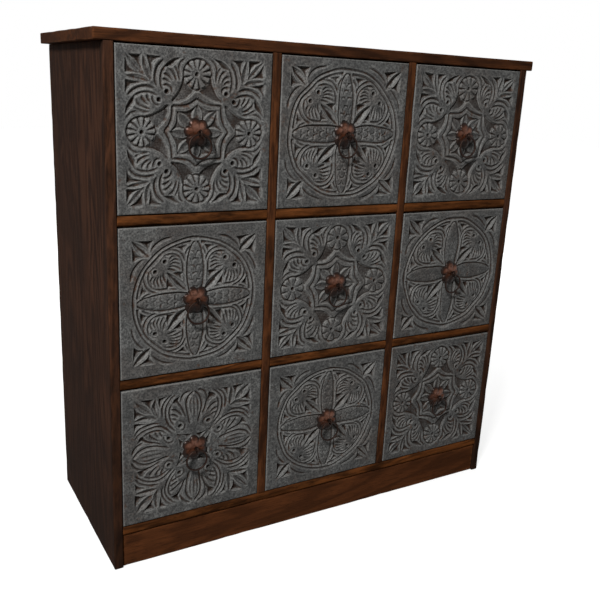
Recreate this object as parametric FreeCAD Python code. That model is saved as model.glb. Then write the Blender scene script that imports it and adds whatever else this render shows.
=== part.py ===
import FreeCAD, Part
import math
import os

# Nine-drawer carved chest in millimetres. +Z is up, the drawer fronts face -Y and X runs along
# the front. The origin is on the floor, at the middle of the footprint with the pulls counted in.

# Case, overall
case_width = 985.0  # over the two side boards
case_depth = 400.0
case_height = 1044.0
columns = 3
rows = 3

# Case boards
top_thickness = 21.0
top_overhang = 16.0  # past each side board
side_thickness = 19.0
divider_thickness = 19.0
rail_thickness = 20.0
rail_depth = 60.0
bottom_thickness = 20.0
bottom_housing = 6.0  # how far the bottom board is let into each side board
plinth_height = 73.5
plinth_thickness = 19.0
plinth_setback = 4.5
plinth_block_size = 38.0
plinth_block_count = 4
back_thickness = 8.0
back_recess = 2.0  # from the rear edges of the side boards
back_rebate = 10.0  # width of the rebate in each side board
back_board_gap = 1.0

# Fit of the drawers in the case
front_side_gap = 1.5
front_top_gap = 3.0
front_bottom_gap = 1.5
running_gap = 0.3  # between a drawer's side and its runner, and between a front and its stop
box_side_gap = 2.0  # between a drawer's side and the case
drawer_rear_gap = 15.0

# Drawer boards
front_thickness = 20.0
front_rounding = 2.0
side_board = 12.0
side_lap = 8.0  # how far a drawer side is let into the back of the front
side_drop = 10.0  # top of the drawer sides below the top of the front
back_board = 12.0
bottom_panel = 6.0
panel_lift = 8.0  # from the lower edge of the drawer sides to the panel
panel_groove = 5.0
groove_gap = 0.2

# Runners, stops and fasteners of the case
runner_width = 25.0
stop_length = 30.0
stop_depth = 12.0
stop_height = 6.0
stop_spread = 80.0  # from the middle of the drawer to the middle of a stop
dowel_diameter = 8.0
dowel_bite = 20.0  # into a rail
dowel_side_bite = 12.0  # into a side board
dowel_edge = 18.0  # from the rail's long edges
screw_diameter = 3.5
screw_head_diameter = 7.0
screw_head_height = 2.0
screw_bite = 7.0  # past the runner, into a side board or a divider
screw_end = 40.0  # from the ends of a runner
nail_diameter = 2.4
nail_head_diameter = 6.0
nail_head_height = 1.0
nail_length = 25.0
nail_edge = 5.0  # from the edge of a back board
nail_end = 40.0  # from the ends of a back board
nails_per_edge = 6

# Ring pull
petal_count = 6
petal_circle = 34.0  # diameter of the circle through the middles of the petals
petal_diameter = 22.0
petal_rise = 5.5
crown_diameter = 28.0
crown_rise = 8.0
rosette_sheet = 1.2
pin_diameter = 4.8
pin_hole_gap = 0.2
pin_leg_length = 18.0
pin_leg_thickness = 1.6
eye_wire = 3.4
eye_hole = 8.0
eye_stand = 3.0  # neck of the split pin between the rosette's crown and the eye
ring_diameter = 48.0  # outside
ring_wire = 4.2
ring_seat_gap = 0.3

# Worked out from the values above
divider_count = columns - 1
rail_rows = rows - 1
inner_width = case_width - 2 * side_thickness
opening_width = (inner_width - divider_count * divider_thickness) / columns
bottom_top = plinth_height + bottom_thickness
case_top = case_height - top_thickness
opening_height = (case_top - bottom_top - rail_rows * rail_thickness) / rows
column_pitch = opening_width + divider_thickness
row_pitch = opening_height + rail_thickness
front_width = opening_width - 2 * front_side_gap
front_height = opening_height - front_top_gap - front_bottom_gap

eye_radius = (eye_hole + eye_wire) / 2
eye_reach = crown_rise + eye_stand - eye_wire / 2 + eye_radius  # middle of the eye from the drawer's face
pull_reach = eye_reach + eye_radius + eye_wire / 2
front_y = (pull_reach - case_depth) / 2
rear_y = front_y + case_depth
back_y = rear_y - back_recess - back_thickness  # inner face of the back boards

ring_radius = (ring_diameter - ring_wire) / 2
ring_hang = (eye_hole - ring_wire) / 2 - ring_seat_gap  # ring's top wire below the middle of the eye

drawer_length = back_y - drawer_rear_gap - front_y
box_width = opening_width - 2 * box_side_gap
box_inner_width = box_width - 2 * side_board
box_top = front_bottom_gap + front_height - side_drop  # above the floor of the opening
panel_bottom = running_gap + panel_lift
panel_top = panel_bottom + bottom_panel

row_names = ["bottom", "middle", "top"]
column_names = ["left", "centre", "right"]


def box(x, y, z):
    """A board between two values along each axis."""
    size = [high - low for low, high in (x, y, z)]
    return Part.makeBox(*size, FreeCAD.Vector(x[0], y[0], z[0]))


def around(middle, width):
    """The two ends of a width about its middle."""
    return (middle - width / 2, middle + width / 2)


def rod(start, direction, diameter, length):
    return Part.makeCylinder(diameter / 2, length, FreeCAD.Vector(*start), FreeCAD.Vector(*direction))


def write(node, *solids):
    """One file per named piece; alike pieces share a file as separate solids."""
    shape = solids[0] if len(solids) == 1 else Part.makeCompound(list(solids))
    shape.exportStep("parts/" + node + ".step")


def column_x(column):
    return (column - (columns - 1) / 2) * column_pitch


def divider_x(divider):
    return (column_x(divider) + column_x(divider + 1)) / 2


def floor_z(row):
    """Height of the surface that the drawers of a row run on."""
    return bottom_top + row * row_pitch


def rail_middle(rail_row):
    return floor_z(rail_row + 1) - rail_thickness / 2


# Case boards

def top_board():
    overall = case_width + 2 * top_overhang
    return box(around(0, overall), (front_y, rear_y), (case_top, case_height))


def side_panel(hand):
    """hand is -1 for the left board and +1 for the right one."""
    inner = hand * inner_width / 2
    outer = hand * case_width / 2
    board = box(sorted((inner, outer)), (front_y, rear_y), (0, case_top))
    housing = box(sorted((inner, inner + hand * bottom_housing)), (front_y, back_y), (plinth_height, bottom_top))
    rebate = box(sorted((inner, inner + hand * back_rebate)), (back_y, rear_y), (plinth_height, case_top))
    return board.cut(housing).cut(rebate)


def divider(number):
    return box(around(divider_x(number), divider_thickness), (front_y, back_y), (bottom_top, case_top))


def bottom_board():
    width = inner_width + 2 * bottom_housing
    return box(around(0, width), (front_y, back_y), (plinth_height, bottom_top))


def plinth_board():
    face = front_y + plinth_setback
    return box(around(0, inner_width), (face, face + plinth_thickness), (0, plinth_height))


def plinth_blocks():
    """Glue blocks in the angle between the plinth and the bottom board."""
    face = front_y + plinth_setback + plinth_thickness
    spacing = inner_width / plinth_block_count
    first = (spacing - inner_width) / 2
    return [
        box(
            around(first + number * spacing, plinth_block_size),
            (face, face + plinth_block_size),
            (plinth_height - plinth_block_size, plinth_height),
        )
        for number in range(plinth_block_count)
    ]


def back_board_edges():
    """Left and right edge of each back board; they meet on the dividers."""
    outer = inner_width / 2 + back_rebate
    joins = [divider_x(number) for number in range(divider_count)]
    lefts = [-outer] + [x + back_board_gap / 2 for x in joins]
    rights = [x - back_board_gap / 2 for x in joins] + [outer]
    return list(zip(lefts, rights))


def back_boards():
    depth = (back_y, back_y + back_thickness)
    return [box(edges, depth, (plinth_height, case_top)) for edges in back_board_edges()]


def back_nails():
    nails = []
    run = case_top - plinth_height - 2 * nail_end
    face = back_y + back_thickness
    for left, right in back_board_edges():
        for x in (left + nail_edge, right - nail_edge):
            for number in range(nails_per_edge):
                z = plinth_height + nail_end + number * run / (nails_per_edge - 1)
                shank = rod((x, face, z), (0, -1, 0), nail_diameter, nail_length)
                head = rod((x, face, z), (0, 1, 0), nail_head_diameter, nail_head_height)
                nails.append(shank.fuse(head))
    return nails


def front_rails():
    depth = (front_y, front_y + rail_depth)
    return [
        box(around(column_x(column), opening_width), depth, around(rail_middle(rail_row), rail_thickness))
        for rail_row in range(rail_rows)
        for column in range(columns)
    ]


def rail_dowels():
    """Dowels through the dividers into the rails on both sides, and from the side boards."""
    dowels = []
    for rail_row in range(rail_rows):
        z = rail_middle(rail_row)
        for y in (front_y + dowel_edge, front_y + rail_depth - dowel_edge):
            for number in range(divider_count):
                length = divider_thickness + 2 * dowel_bite
                start = divider_x(number) - length / 2
                dowels.append(rod((start, y, z), (1, 0, 0), dowel_diameter, length))
            for hand in (-1, 1):
                start = hand * (inner_width / 2 + dowel_side_bite)
                length = dowel_side_bite + dowel_bite
                dowels.append(rod((start, y, z), (-hand, 0, 0), dowel_diameter, length))
    return dowels


# Runners and stops

def runner_places():
    """Middle of the column, hand and rail row of each runner."""
    return [
        (column_x(column), hand, rail_row)
        for rail_row in range(rail_rows)
        for column in range(columns)
        for hand in (-1, 1)
    ]


def drawer_runners():
    runners = []
    for middle, hand, rail_row in runner_places():
        wall = middle + hand * opening_width / 2
        x = sorted((wall, wall - hand * runner_width))
        height = around(rail_middle(rail_row), rail_thickness)
        runners.append(box(x, (front_y + rail_depth, back_y), height))
    return runners


def runner_screws():
    screws = []
    for middle, hand, rail_row in runner_places():
        face = middle + hand * (opening_width / 2 - runner_width)
        z = rail_middle(rail_row)
        for y in (front_y + rail_depth + screw_end, back_y - screw_end):
            shank = rod((face, y, z), (hand, 0, 0), screw_diameter, runner_width + screw_bite)
            head = rod((face, y, z), (-hand, 0, 0), screw_head_diameter, screw_head_height)
            screws.append(shank.fuse(head))
    return screws


def drawer_stops():
    """Blocks on the rails and the bottom board that the backs of the drawer fronts meet."""
    face = front_y + front_thickness + running_gap
    return [
        box(
            around(column_x(column) + hand * stop_spread, stop_length),
            (face, face + stop_depth),
            (floor_z(row), floor_z(row) + stop_height),
        )
        for row in range(rows)
        for column in range(columns)
        for hand in (-1, 1)
    ]


# Drawers, each about the middle of its column and the floor of its row

def drawer_front(x, floor):
    bottom = floor + front_bottom_gap
    depth = (front_y, front_y + front_thickness)
    board = box(around(x, front_width), depth, (bottom, bottom + front_height))
    face_edges = [edge for edge in board.Edges if edge.BoundBox.YMax < front_y + front_rounding]
    board = board.makeFillet(front_rounding, face_edges)
    lap_depth = (front_y + front_thickness - side_lap, front_y + front_thickness)
    for hand in (-1, 1):
        inner = x + hand * box_inner_width / 2
        end = x + hand * front_width / 2
        board = board.cut(box(sorted((inner, end)), lap_depth, (bottom, bottom + front_height)))
    groove_depth = (front_y + front_thickness - panel_groove, front_y + front_thickness)
    groove = box(around(x, box_inner_width), groove_depth, panel_slot(floor))
    pin = rod((x, front_y, front_middle(floor)), (0, 1, 0), pin_diameter + 2 * pin_hole_gap, front_thickness)
    return board.cut(groove).cut(pin)


def front_middle(floor):
    return floor + front_bottom_gap + front_height / 2


def panel_slot(floor):
    """Height of the groove that holds the drawer's bottom."""
    return (floor + panel_bottom - groove_gap, floor + panel_top + groove_gap)


def drawer_box(x, floor):
    """The two sides, grooved for the bottom, and the back that stands on the bottom."""
    start = front_y + front_thickness - side_lap
    end = front_y + drawer_length
    boards = []
    for hand in (-1, 1):
        outer = x + hand * box_width / 2
        inner = x + hand * box_inner_width / 2
        side = box(sorted((inner, outer)), (start, end), (floor + running_gap, floor + box_top))
        groove = box(sorted((inner, inner + hand * panel_groove)), (start, end), panel_slot(floor))
        boards.append(side.cut(groove))
    back_height = (floor + panel_top, floor + box_top)
    boards.append(box(around(x, box_inner_width), (end - back_board, end), back_height))
    return boards


def drawer_bottom(x, floor):
    """Panel held in the grooves of the sides and the front; it runs under the back."""
    reach = panel_groove - groove_gap
    start = front_y + front_thickness - reach
    height = (floor + panel_bottom, floor + panel_top)
    wide = box(around(x, box_inner_width + 2 * reach), (start, front_y + drawer_length), height)
    for hand in (-1, 1):
        inner = x + hand * box_inner_width / 2
        corner_depth = (start, front_y + front_thickness)
        wide = wide.cut(box(sorted((inner, inner + hand * reach)), corner_depth, height))
    return wide


# Ring pulls, each about the middle of its drawer front's face

def dome(x, z, diameter, rise):
    """A round cap standing on the drawer's face."""
    radius = (diameter**2 / 4 + rise**2) / (2 * rise)
    ball = Part.makeSphere(radius, FreeCAD.Vector(x, front_y + radius - rise, z))
    front = box(around(x, 2 * radius), (front_y - rise, front_y), around(z, 2 * radius))
    return ball.common(front)


def flower(x, z, shrink):
    """Six petals round a crown; shrink draws every face in, for the hollow inside."""
    caps = [dome(x, z, crown_diameter - 2 * shrink, crown_rise - shrink)]
    for number in range(petal_count):
        angle = 2 * math.pi * (number + 0.5) / petal_count
        petal_x = x + petal_circle / 2 * math.cos(angle)
        petal_z = z + petal_circle / 2 * math.sin(angle)
        caps.append(dome(petal_x, petal_z, petal_diameter - 2 * shrink, petal_rise - shrink))
    return caps[0].multiFuse(caps[1:]).removeSplitter()


def rosette(x, z):
    """Hollow sheet flower with a hole for the split pin."""
    hole = rod((x, front_y - crown_rise, z), (0, 1, 0), pin_diameter + 2 * pin_hole_gap, crown_rise)
    return flower(x, z, 0).cut(flower(x, z, rosette_sheet)).cut(hole)


def split_pin(x, z):
    """Eye in front, stem through the rosette and the board, legs clinched up and down behind."""
    middle = FreeCAD.Vector(x, front_y - eye_reach, z)
    eye = Part.makeTorus(eye_radius, eye_wire / 2, middle, FreeCAD.Vector(1, 0, 0))
    inner_face = front_y + front_thickness
    stem_start = front_y - eye_reach + eye_radius
    stem_length = inner_face + pin_leg_thickness - stem_start
    stem = rod((x, stem_start, z), (0, 1, 0), pin_diameter, stem_length)
    legs = box(
        around(x, pin_diameter),
        (inner_face, inner_face + pin_leg_thickness),
        around(z, 2 * pin_leg_length),
    )
    return eye.multiFuse([stem, legs]).removeSplitter()


def ring(x, z):
    """Ring hanging in the eye, its top wire a seat gap above the eye's wire."""
    middle = FreeCAD.Vector(x, front_y - eye_reach, z - ring_hang - ring_radius)
    return Part.makeTorus(ring_radius, ring_wire / 2, middle, FreeCAD.Vector(0, 1, 0))


def build_case():
    write("top_board", top_board())
    write("left_side", side_panel(-1))
    write("right_side", side_panel(1))
    write("left_divider", divider(0))
    write("right_divider", divider(1))
    write("bottom_board", bottom_board())
    write("plinth_board", plinth_board())
    write("plinth_blocks", *plinth_blocks())
    write("back_boards", *back_boards())
    write("back_nails", *back_nails())
    write("front_rails", *front_rails())
    write("rail_dowels", *rail_dowels())
    write("drawer_runners", *drawer_runners())
    write("runner_screws", *runner_screws())
    write("drawer_stops", *drawer_stops())


def build_drawer(place, x, floor):
    middle = front_middle(floor)
    write(place + "_drawer_front", drawer_front(x, floor))
    write(place + "_drawer_box", *drawer_box(x, floor))
    write(place + "_drawer_bottom", drawer_bottom(x, floor))
    write(place + "_pull", rosette(x, middle), split_pin(x, middle))
    write(place + "_ring", ring(x, middle))


def main():
    os.makedirs("parts", exist_ok=True)
    build_case()
    for row in range(rows):
        for column in range(columns):
            place = row_names[row] + "_" + column_names[column]
            build_drawer(place, column_x(column), floor_z(row))
    print("front", front_width, "x", front_height, "front_y", round(front_y, 3), "pull reach", pull_reach)
    print("eye reach", eye_reach, "ring hang", ring_hang, "ring radius", ring_radius)


main()
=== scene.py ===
import math

import bpy
import numpy as np
from mathutils import Matrix, Vector


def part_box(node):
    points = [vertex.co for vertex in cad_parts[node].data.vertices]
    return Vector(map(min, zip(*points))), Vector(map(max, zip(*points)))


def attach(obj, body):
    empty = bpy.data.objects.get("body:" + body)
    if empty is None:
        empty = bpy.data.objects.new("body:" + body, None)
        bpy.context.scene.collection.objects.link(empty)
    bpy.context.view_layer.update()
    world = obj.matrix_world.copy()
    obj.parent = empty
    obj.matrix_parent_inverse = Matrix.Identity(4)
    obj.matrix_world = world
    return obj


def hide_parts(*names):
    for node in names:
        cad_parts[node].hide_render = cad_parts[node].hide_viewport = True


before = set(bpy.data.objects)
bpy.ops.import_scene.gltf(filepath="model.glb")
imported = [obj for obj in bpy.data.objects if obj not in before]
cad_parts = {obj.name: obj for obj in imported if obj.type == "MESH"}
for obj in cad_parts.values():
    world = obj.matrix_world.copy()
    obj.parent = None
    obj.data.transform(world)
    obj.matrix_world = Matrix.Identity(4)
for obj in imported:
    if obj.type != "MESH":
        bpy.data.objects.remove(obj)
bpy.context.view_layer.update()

# Looks of a nine-drawer carved chest. Shapes are worked out in millimetres and written in metres.

MM = 0.001
X, Y, Z = 0, 1, 2

ROWS = ["bottom", "middle", "top"]
COLUMNS = ["left", "centre", "right"]
PLACES = [row + "_" + column for row in ROWS for column in COLUMNS]

# Carving of each drawer front, its size and what varies in it from drawer to drawer
CARVINGS = {
    "top_left": ("star", 1.0, {"daisy_petals": 12}),
    "top_centre": ("wheel", 1.0, {"scale_depth": 1.7}),
    "top_right": ("star", 1.0, {"daisy_petals": 10}),
    "middle_left": ("wheel", 0.96, {"scale_depth": 1.4}),
    "middle_centre": ("star", 1.0, {"daisy_petals": 8}),
    "middle_right": ("wheel", 1.02, {"scale_depth": 0.5}),
    "bottom_left": ("blossom", 1.0, {}),
    "bottom_centre": ("wheel", 0.96, {"scale_depth": 1.0}),
    "bottom_right": ("star", 1.0, {"daisy_petals": 11}),
}
# How much darker than usual the cuts of some fronts are, as a share: painted shade, most towards the lower
# right where the light falls off
EXTRA_CUT_SHADE = {"bottom_right": 0.32, "middle_right": 0.14, "bottom_left": 0.1, "top_left": 0.06}
# How far each iron flower is turned on its pin, in degrees
FLOWER_TURNS = {
    "top_left": 24, "top_centre": 8, "top_right": 14,
    "middle_left": 20, "middle_centre": -6, "middle_right": 17,
    "bottom_left": 0, "bottom_centre": 11, "bottom_right": 26,
}

# Boards, millimetres
EDGE_ROUNDING = 1.6
RAIL_ROUNDING = 6.0
CASE_ROUNDING = 2.6
PANEL_ROUNDING = 0.5
BACK_ROUNDING = 0.8
BOARD_STEP = 22.0  # spacing of the mesh over a board's faces
BACK_STEP = 30.0  # the same over the back boards
PLANE_WAVE = 0.25  # depth of the waves that the plane left
PLANE_WAVELENGTH = 170.0
NICK_SPACING = 55.0  # of the nicks in a board's edges
DRAWER_BOARD = 12.0
PANEL_GAP = 0.15  # between a drawer's bottom and the boards round it

# Carved fronts, millimetres where nothing else is said
FRONT_ROUNDING = 2.0
LAP_DEPTH = 12.0  # from the face to the rebates that take the drawer's sides
CARVING_STEP = 1.0
BORDER_STEP = 3.0
FIELD = 0.9  # half size of the finely meshed field, as a share of half the front
HAND_WANDER = 0.009  # of the carver's lines, as a share of half the front, as are the wavelengths below
HAND_WAVELENGTH = 0.55
RELIEF = 1.9  # how much bolder shallow cuts are made than drawn
DEEPEST = 8.5
DEPTH_UNEVEN = 0.14  # how much deeper or shallower than drawn a cut may be, as a share
DEPTH_WAVELENGTH = 0.35
SOFTENING = 0.65  # share of the relief that is smoothed from one grid line to the next
GOUGE_MARKS = 0.22
GOUGE_WAVELENGTH = 0.035
GOUGED_DEPTH = 3.0  # of the cuts that show the gouge marks in full
PLANE_MARKS = 0.18
PLANE_MARK_WAVELENGTH = 0.5
SCALE_WIDTH = 0.105  # of the scales on the long petals, as a share of half the front
SCALE_LENGTH = 0.1

# Dirt, painted shade, wear and painted highlights on the carved fronts, millimetres where nothing else is
# said
FULL_DEPTH = 6.2  # at which a cut is as dark as it gets, dirty and with painted shade
HOLLOW_REACH = 4  # grid cells round a point that its hollow is measured against
HOLLOW_DEPTH = 1.6  # below them at which it is as dark as it gets, dirty and with painted shade
RIDGE_REACH = 3  # grid cells round a point that its ridge is measured against
RIDGE_HEIGHT = 0.9  # above them at which it is rubbed most
RUBBED_DEPTH = 2.6  # of the cuts that a rag reaches into
BEVEL_SLOPES = (0.35, 0.65, 1.5, 2.0)  # rise over run of the bevels, fading out to the first and last
BEVEL_UNDARKENED = 0.9  # how much lighter the bevels of a cut are kept than its floor, as a share: they are less dirty and get less painted shade
BEVEL_RUB_AND_HIGHLIGHT = 0.9  # how much the broad bevels of deep cuts are lightened: rubbed paint and a painted highlight

# Iron pulls, millimetres
PETALS = 6
PETAL_CIRCLE = 34.0
PETAL_WIDTH = 22.0
PETAL_RISE = 9.0  # before the petals lean outwards
PETAL_FULLNESS = 2.6  # 2 is a round dome, more is flatter on top
PETAL_LEAN = 1.7  # fullness of the dome that the petals lean down along
PETAL_UNEVEN = 0.08  # how much larger or smaller than these a petal may be, as a share
PETAL_SWAY = 5.0  # degrees that a petal may stand off its place
CROWN_WIDTH = 36.0
CROWN_RISE = 8.6
CROWN_FULLNESS = 1.6
CREASE = 0.6  # softness of the crease between the petals and the crown
SHEET_EDGE = 0.9
PIN_WIDTH = 4.8
LEG_LENGTH = 18.0
LEG_THICKNESS = 1.6
LEG_ROUNDING = 0.4
LEG_STEP = 4.0
LEG_WAVE = 0.1
EYE_HOLE = 8.0
EYE_WIRE = 3.4
RING_WIRE = 4.2
RING_UNEVEN = 0.35  # how much thinner the ring's wire is in places
DENT = 0.22
DENT_SPACING = 8.0
SMALL_DENT_SPACING = 3.5
PETAL_GRIME_AND_SHADE = 0.7  # up to which the flower is darkened, grimy and with painted shade, as a share of a petal's rise
PETAL_HIGHLIGHT_AND_RUB = (0.5, 0.8)  # from which it is lightened with a painted highlight and made smoother, and at which most, as the same share
LOWER_HALF_SHADE = 0.6  # how much darker the flower's lower half is, where the ring hangs: painted shade

# Fasteners, millimetres
NAIL_HEAD = 6.0
NAIL_HEAD_RISE = 1.0
NAIL_SHANK = 2.4
NAIL_POINT = 3.0
SCREW_HEAD = 7.0
SCREW_HEAD_RISE = 2.0
SCREW_SHANK = 3.5
SCREW_POINT = 4.0
SLOT_DEPTH = 0.7

# Woods, metres
CASE_PLANK = 0.134  # width of the planks that wide boards are glued up from
PANEL_PLANK = 0.16
WHOLE_BOARD = 0.5  # wider than any board of one piece
COPY_SHIFT = 5.0  # up to which the grain of a repeated board is moved
DARKER_BELOW_HEIGHT = 0.55  # from the floor, up to which the sides are darker

# Strength of the mirror-like reflection, which is usually 0.5
WOOD_GLOSS = 0.003
PAINT_GLOSS = 0.05
IRON_GLOSS = 0.1
FLOWER_GLOSS = 0.12

# Seeds of what varies from drawer to drawer
CARVING_SEED = 100
FRONT_GRAIN_SEED = 300
BOX_SEED = 400
BOTTOM_SEED = 450
DENT_SEED = 500
FLOWER_SEED = 550
LEG_SEED = 600
RING_SEED = 700

# Camera and light, metres
CAMERA_PLACE = (-0.864, -1.4884, 0.9695)
CAMERA_TARGET = (0.0240, -0.0046, 0.4697)
CAMERA_ROLL = 2.89  # degrees
CAMERA_LENS = 44.9  # millimetres, as is the sensor's width
CAMERA_SENSOR = 36.0
KEY_PLACE = (-2.2, -2.05, 2.65)
KEY_TARGET = (-0.15, -0.19, 0.65)
KEY_SIZE = 0.6
KEY_POWER = 168.0  # watts, as is the other lamp's
REAR_PLACE = (1.9, 2.6, 2.0)
REAR_TARGET = (0.2, 0.2, 0.5)
REAR_SIZE = 1.2
REAR_POWER = 60.0
WHITE = (1.0, 1.0, 1.0, 1.0)
AMBIENT = 0.11
FLOOR_GLOW_NEAR = 0.72
FLOOR_GLOW_FAR = 0.95
FLOOR_NEAR = 0.6  # up to which the floor glows least, and past FLOOR_FAR most
FLOOR_FAR = 2.6
FLOOR_HALF = 12.0
FLOOR_LEVEL = -0.001


# Small tools

def wander(points, wavelength, seed, waves=7):
    """Smooth random field between about -1 and 1: a sum of plane waves in fixed random directions."""
    rng = np.random.default_rng(seed)
    points = np.asarray(points, float)
    total = np.zeros(len(points))
    for _ in range(waves):
        direction = rng.normal(size=points.shape[1])
        direction *= rng.uniform(0.6, 1.6) / np.linalg.norm(direction)
        total += np.sin(points @ direction * (2 * math.pi / wavelength) + rng.uniform(0, 2 * math.pi))
    return total / math.sqrt(waves / 2) / 1.6


def unit(way):
    return way / np.linalg.norm(way)


def store(mesh, name, values):
    """Keeps one number or one vector for every point of a mesh."""
    values = np.asarray(values, np.float32)
    if values.ndim == 1:
        mesh.attributes.new(name, "FLOAT", "POINT").data.foreach_set("value", values)
    else:
        mesh.attributes.new(name, "FLOAT_VECTOR", "POINT").data.foreach_set("vector", values.ravel())


def add_object(name, shape, material, smooth_faces=None):
    """Object from a shape, which is points in millimetres, faces and values on the points.

    The first smooth_faces faces are smooth, or where that isn't given all those with three or four corners.
    """
    points, faces, values = shape
    smooth = [len(face) < 5 if smooth_faces is None else i < smooth_faces for i, face in enumerate(faces)]
    mesh = bpy.data.meshes.new(name)
    mesh.from_pydata((np.asarray(points, float) * MM).tolist(), [], faces)
    mesh.polygons.foreach_set("use_smooth", smooth)
    for key, numbers in values.items():
        store(mesh, key, numbers)
    mesh.update()
    mesh.materials.append(material)
    made = bpy.data.objects.new(name, mesh)
    bpy.context.scene.collection.objects.link(made)
    return made


def join(shapes):
    """One shape out of several."""
    points, faces, values = [], [], {}
    start = 0
    for own_points, own_faces, own_values in shapes:
        points.append(own_points)
        faces += [[corner + start for corner in face] for face in own_faces]
        start += len(own_points)
        for key, numbers in own_values.items():
            values.setdefault(key, []).append(numbers)
    return np.vstack(points), faces, {key: np.concatenate(parts) for key, parts in values.items()}


def quads(*corners):
    """Four-cornered faces out of four grids of point numbers."""
    return np.stack(corners, -1).reshape(-1, 4).tolist()


def tube_faces(rings, around):
    """Faces of a tube made of rings of points, with both of its ends closed."""
    index = np.arange(rings * around).reshape(rings, around)
    beside = np.roll(index, -1, axis=1)
    walls = quads(index[:-1], beside[:-1], beside[1:], index[1:])
    return walls + [index[-1].tolist(), index[0, ::-1].tolist()]


def loop_faces(rows, columns):
    """Faces of a grid of points that closes on itself both ways."""
    index = np.arange(rows * columns).reshape(rows, columns)
    ahead, beside = np.roll(index, -1, axis=0), np.roll(index, -1, axis=1)
    return quads(index, ahead, np.roll(ahead, -1, axis=1), beside)


def fit(made, body, node):
    """Puts a finished piece on its body, in place of its CAD node."""
    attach(made, body)
    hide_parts(node)


def cad_box(node):
    """Lowest and highest corner of a CAD node, in millimetres."""
    low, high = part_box(node)
    return np.array(low) / MM, np.array(high) / MM


def solids(node):
    """Lowest and highest corner of each separate solid of a CAD node, in millimetres."""
    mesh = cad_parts[node].data
    points = np.array([vertex.co for vertex in mesh.vertices]) / MM
    places, which = np.unique(np.round(points, 2), axis=0, return_inverse=True)
    edges = which.ravel()[np.array([edge.vertices for edge in mesh.edges])]
    group = np.arange(len(places))
    while True:
        least = group.copy()
        np.minimum.at(least, edges[:, 0], group[edges[:, 1]])
        np.minimum.at(least, edges[:, 1], group[edges[:, 0]])
        if (least == group).all():
            break
        group = least
    return [(places[group == g].min(0), places[group == g].max(0)) for g in np.unique(group)]


# Boards

def lines_along(length, rounding, step):
    """Grid lines along a board: close together towards its worn ends, evenly spaced between."""
    end = rounding * np.array([0, 0.12, 0.35, 0.65, 1.0])
    if length > 20 * rounding:
        end = np.append(end, rounding * np.array([2.5, 6.0]))
    middle = length - 2 * end[-1]
    count = max(1, int(round(middle / step)))
    return np.concatenate([end, end[-1] + middle * np.arange(1, count) / count, length - end[::-1]])


def section_line(corners, rounding, step):
    """Points round a right-angled section, anticlockwise, with their outward ways, wear and nearest corners.

    The last result is each corner's mitre: the way that it moves when the section grows.
    """
    points, ways, wear, nearest, mitres = [], [], [], [], []
    count = len(corners)

    def add(point, way, worn, corner):
        points.append(point)
        ways.append(way)
        wear.append(worn)
        nearest.append(corner)

    def sides(i):
        run_in = unit(corners[i] - corners[i - 1])
        run_out = unit(corners[(i + 1) % count] - corners[i])
        return run_in, run_out, run_in[0] * run_out[1] > run_in[1] * run_out[0]

    for i in range(count):
        run_in, run_out, convex = sides(i)
        out_in, out_out = np.array([run_in[1], -run_in[0]]), np.array([run_out[1], -run_out[0]])
        mitres.append(out_in + out_out)
        if convex:
            middle = corners[i] - rounding * mitres[i]
            for share in (0, 0.25, 0.5, 0.75, 1):
                way = unit((1 - share) * out_in + share * out_out)
                add(middle + rounding * way, way, 1.0, i)
        else:
            add(corners[i], mitres[i], 0.0, i)
        following = (i + 1) % count
        start = corners[i] + run_out * rounding * convex
        end = corners[following] - run_out * rounding * sides(following)[2]
        length = np.linalg.norm(end - start)
        near = rounding * np.array([0.8, 2.2]) if length > 6 * rounding else np.array([])
        inner = []
        if len(near):
            inner = np.linspace(near[-1], length - near[-1], max(1, int(length / step)) + 1)[1:-1]
        for distance in np.concatenate([near, inner, length - near[::-1]]):
            worn = 0.3 * (min(distance, length - distance) < rounding)
            add(start + run_out * distance, out_out, worn, i if distance < length / 2 else following)
    return [np.array(values) for values in (points, ways, wear, nearest, mitres)]


def welded(points, faces, values):
    """The shape with points in one place made one, and without the faces that this leaves empty."""
    _, first, which = np.unique(np.round(points, 4), axis=0, return_index=True, return_inverse=True)
    which = which.ravel()
    kept = []
    for face in faces:
        corners = [which[corner] for corner in face]
        corners = [int(corner) for i, corner in enumerate(corners) if corner != corners[i - 1]]
        if len(corners) > 2:
            kept.append(corners)
    return points[first], kept, {key: numbers[first] for key, numbers in values.items()}


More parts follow.
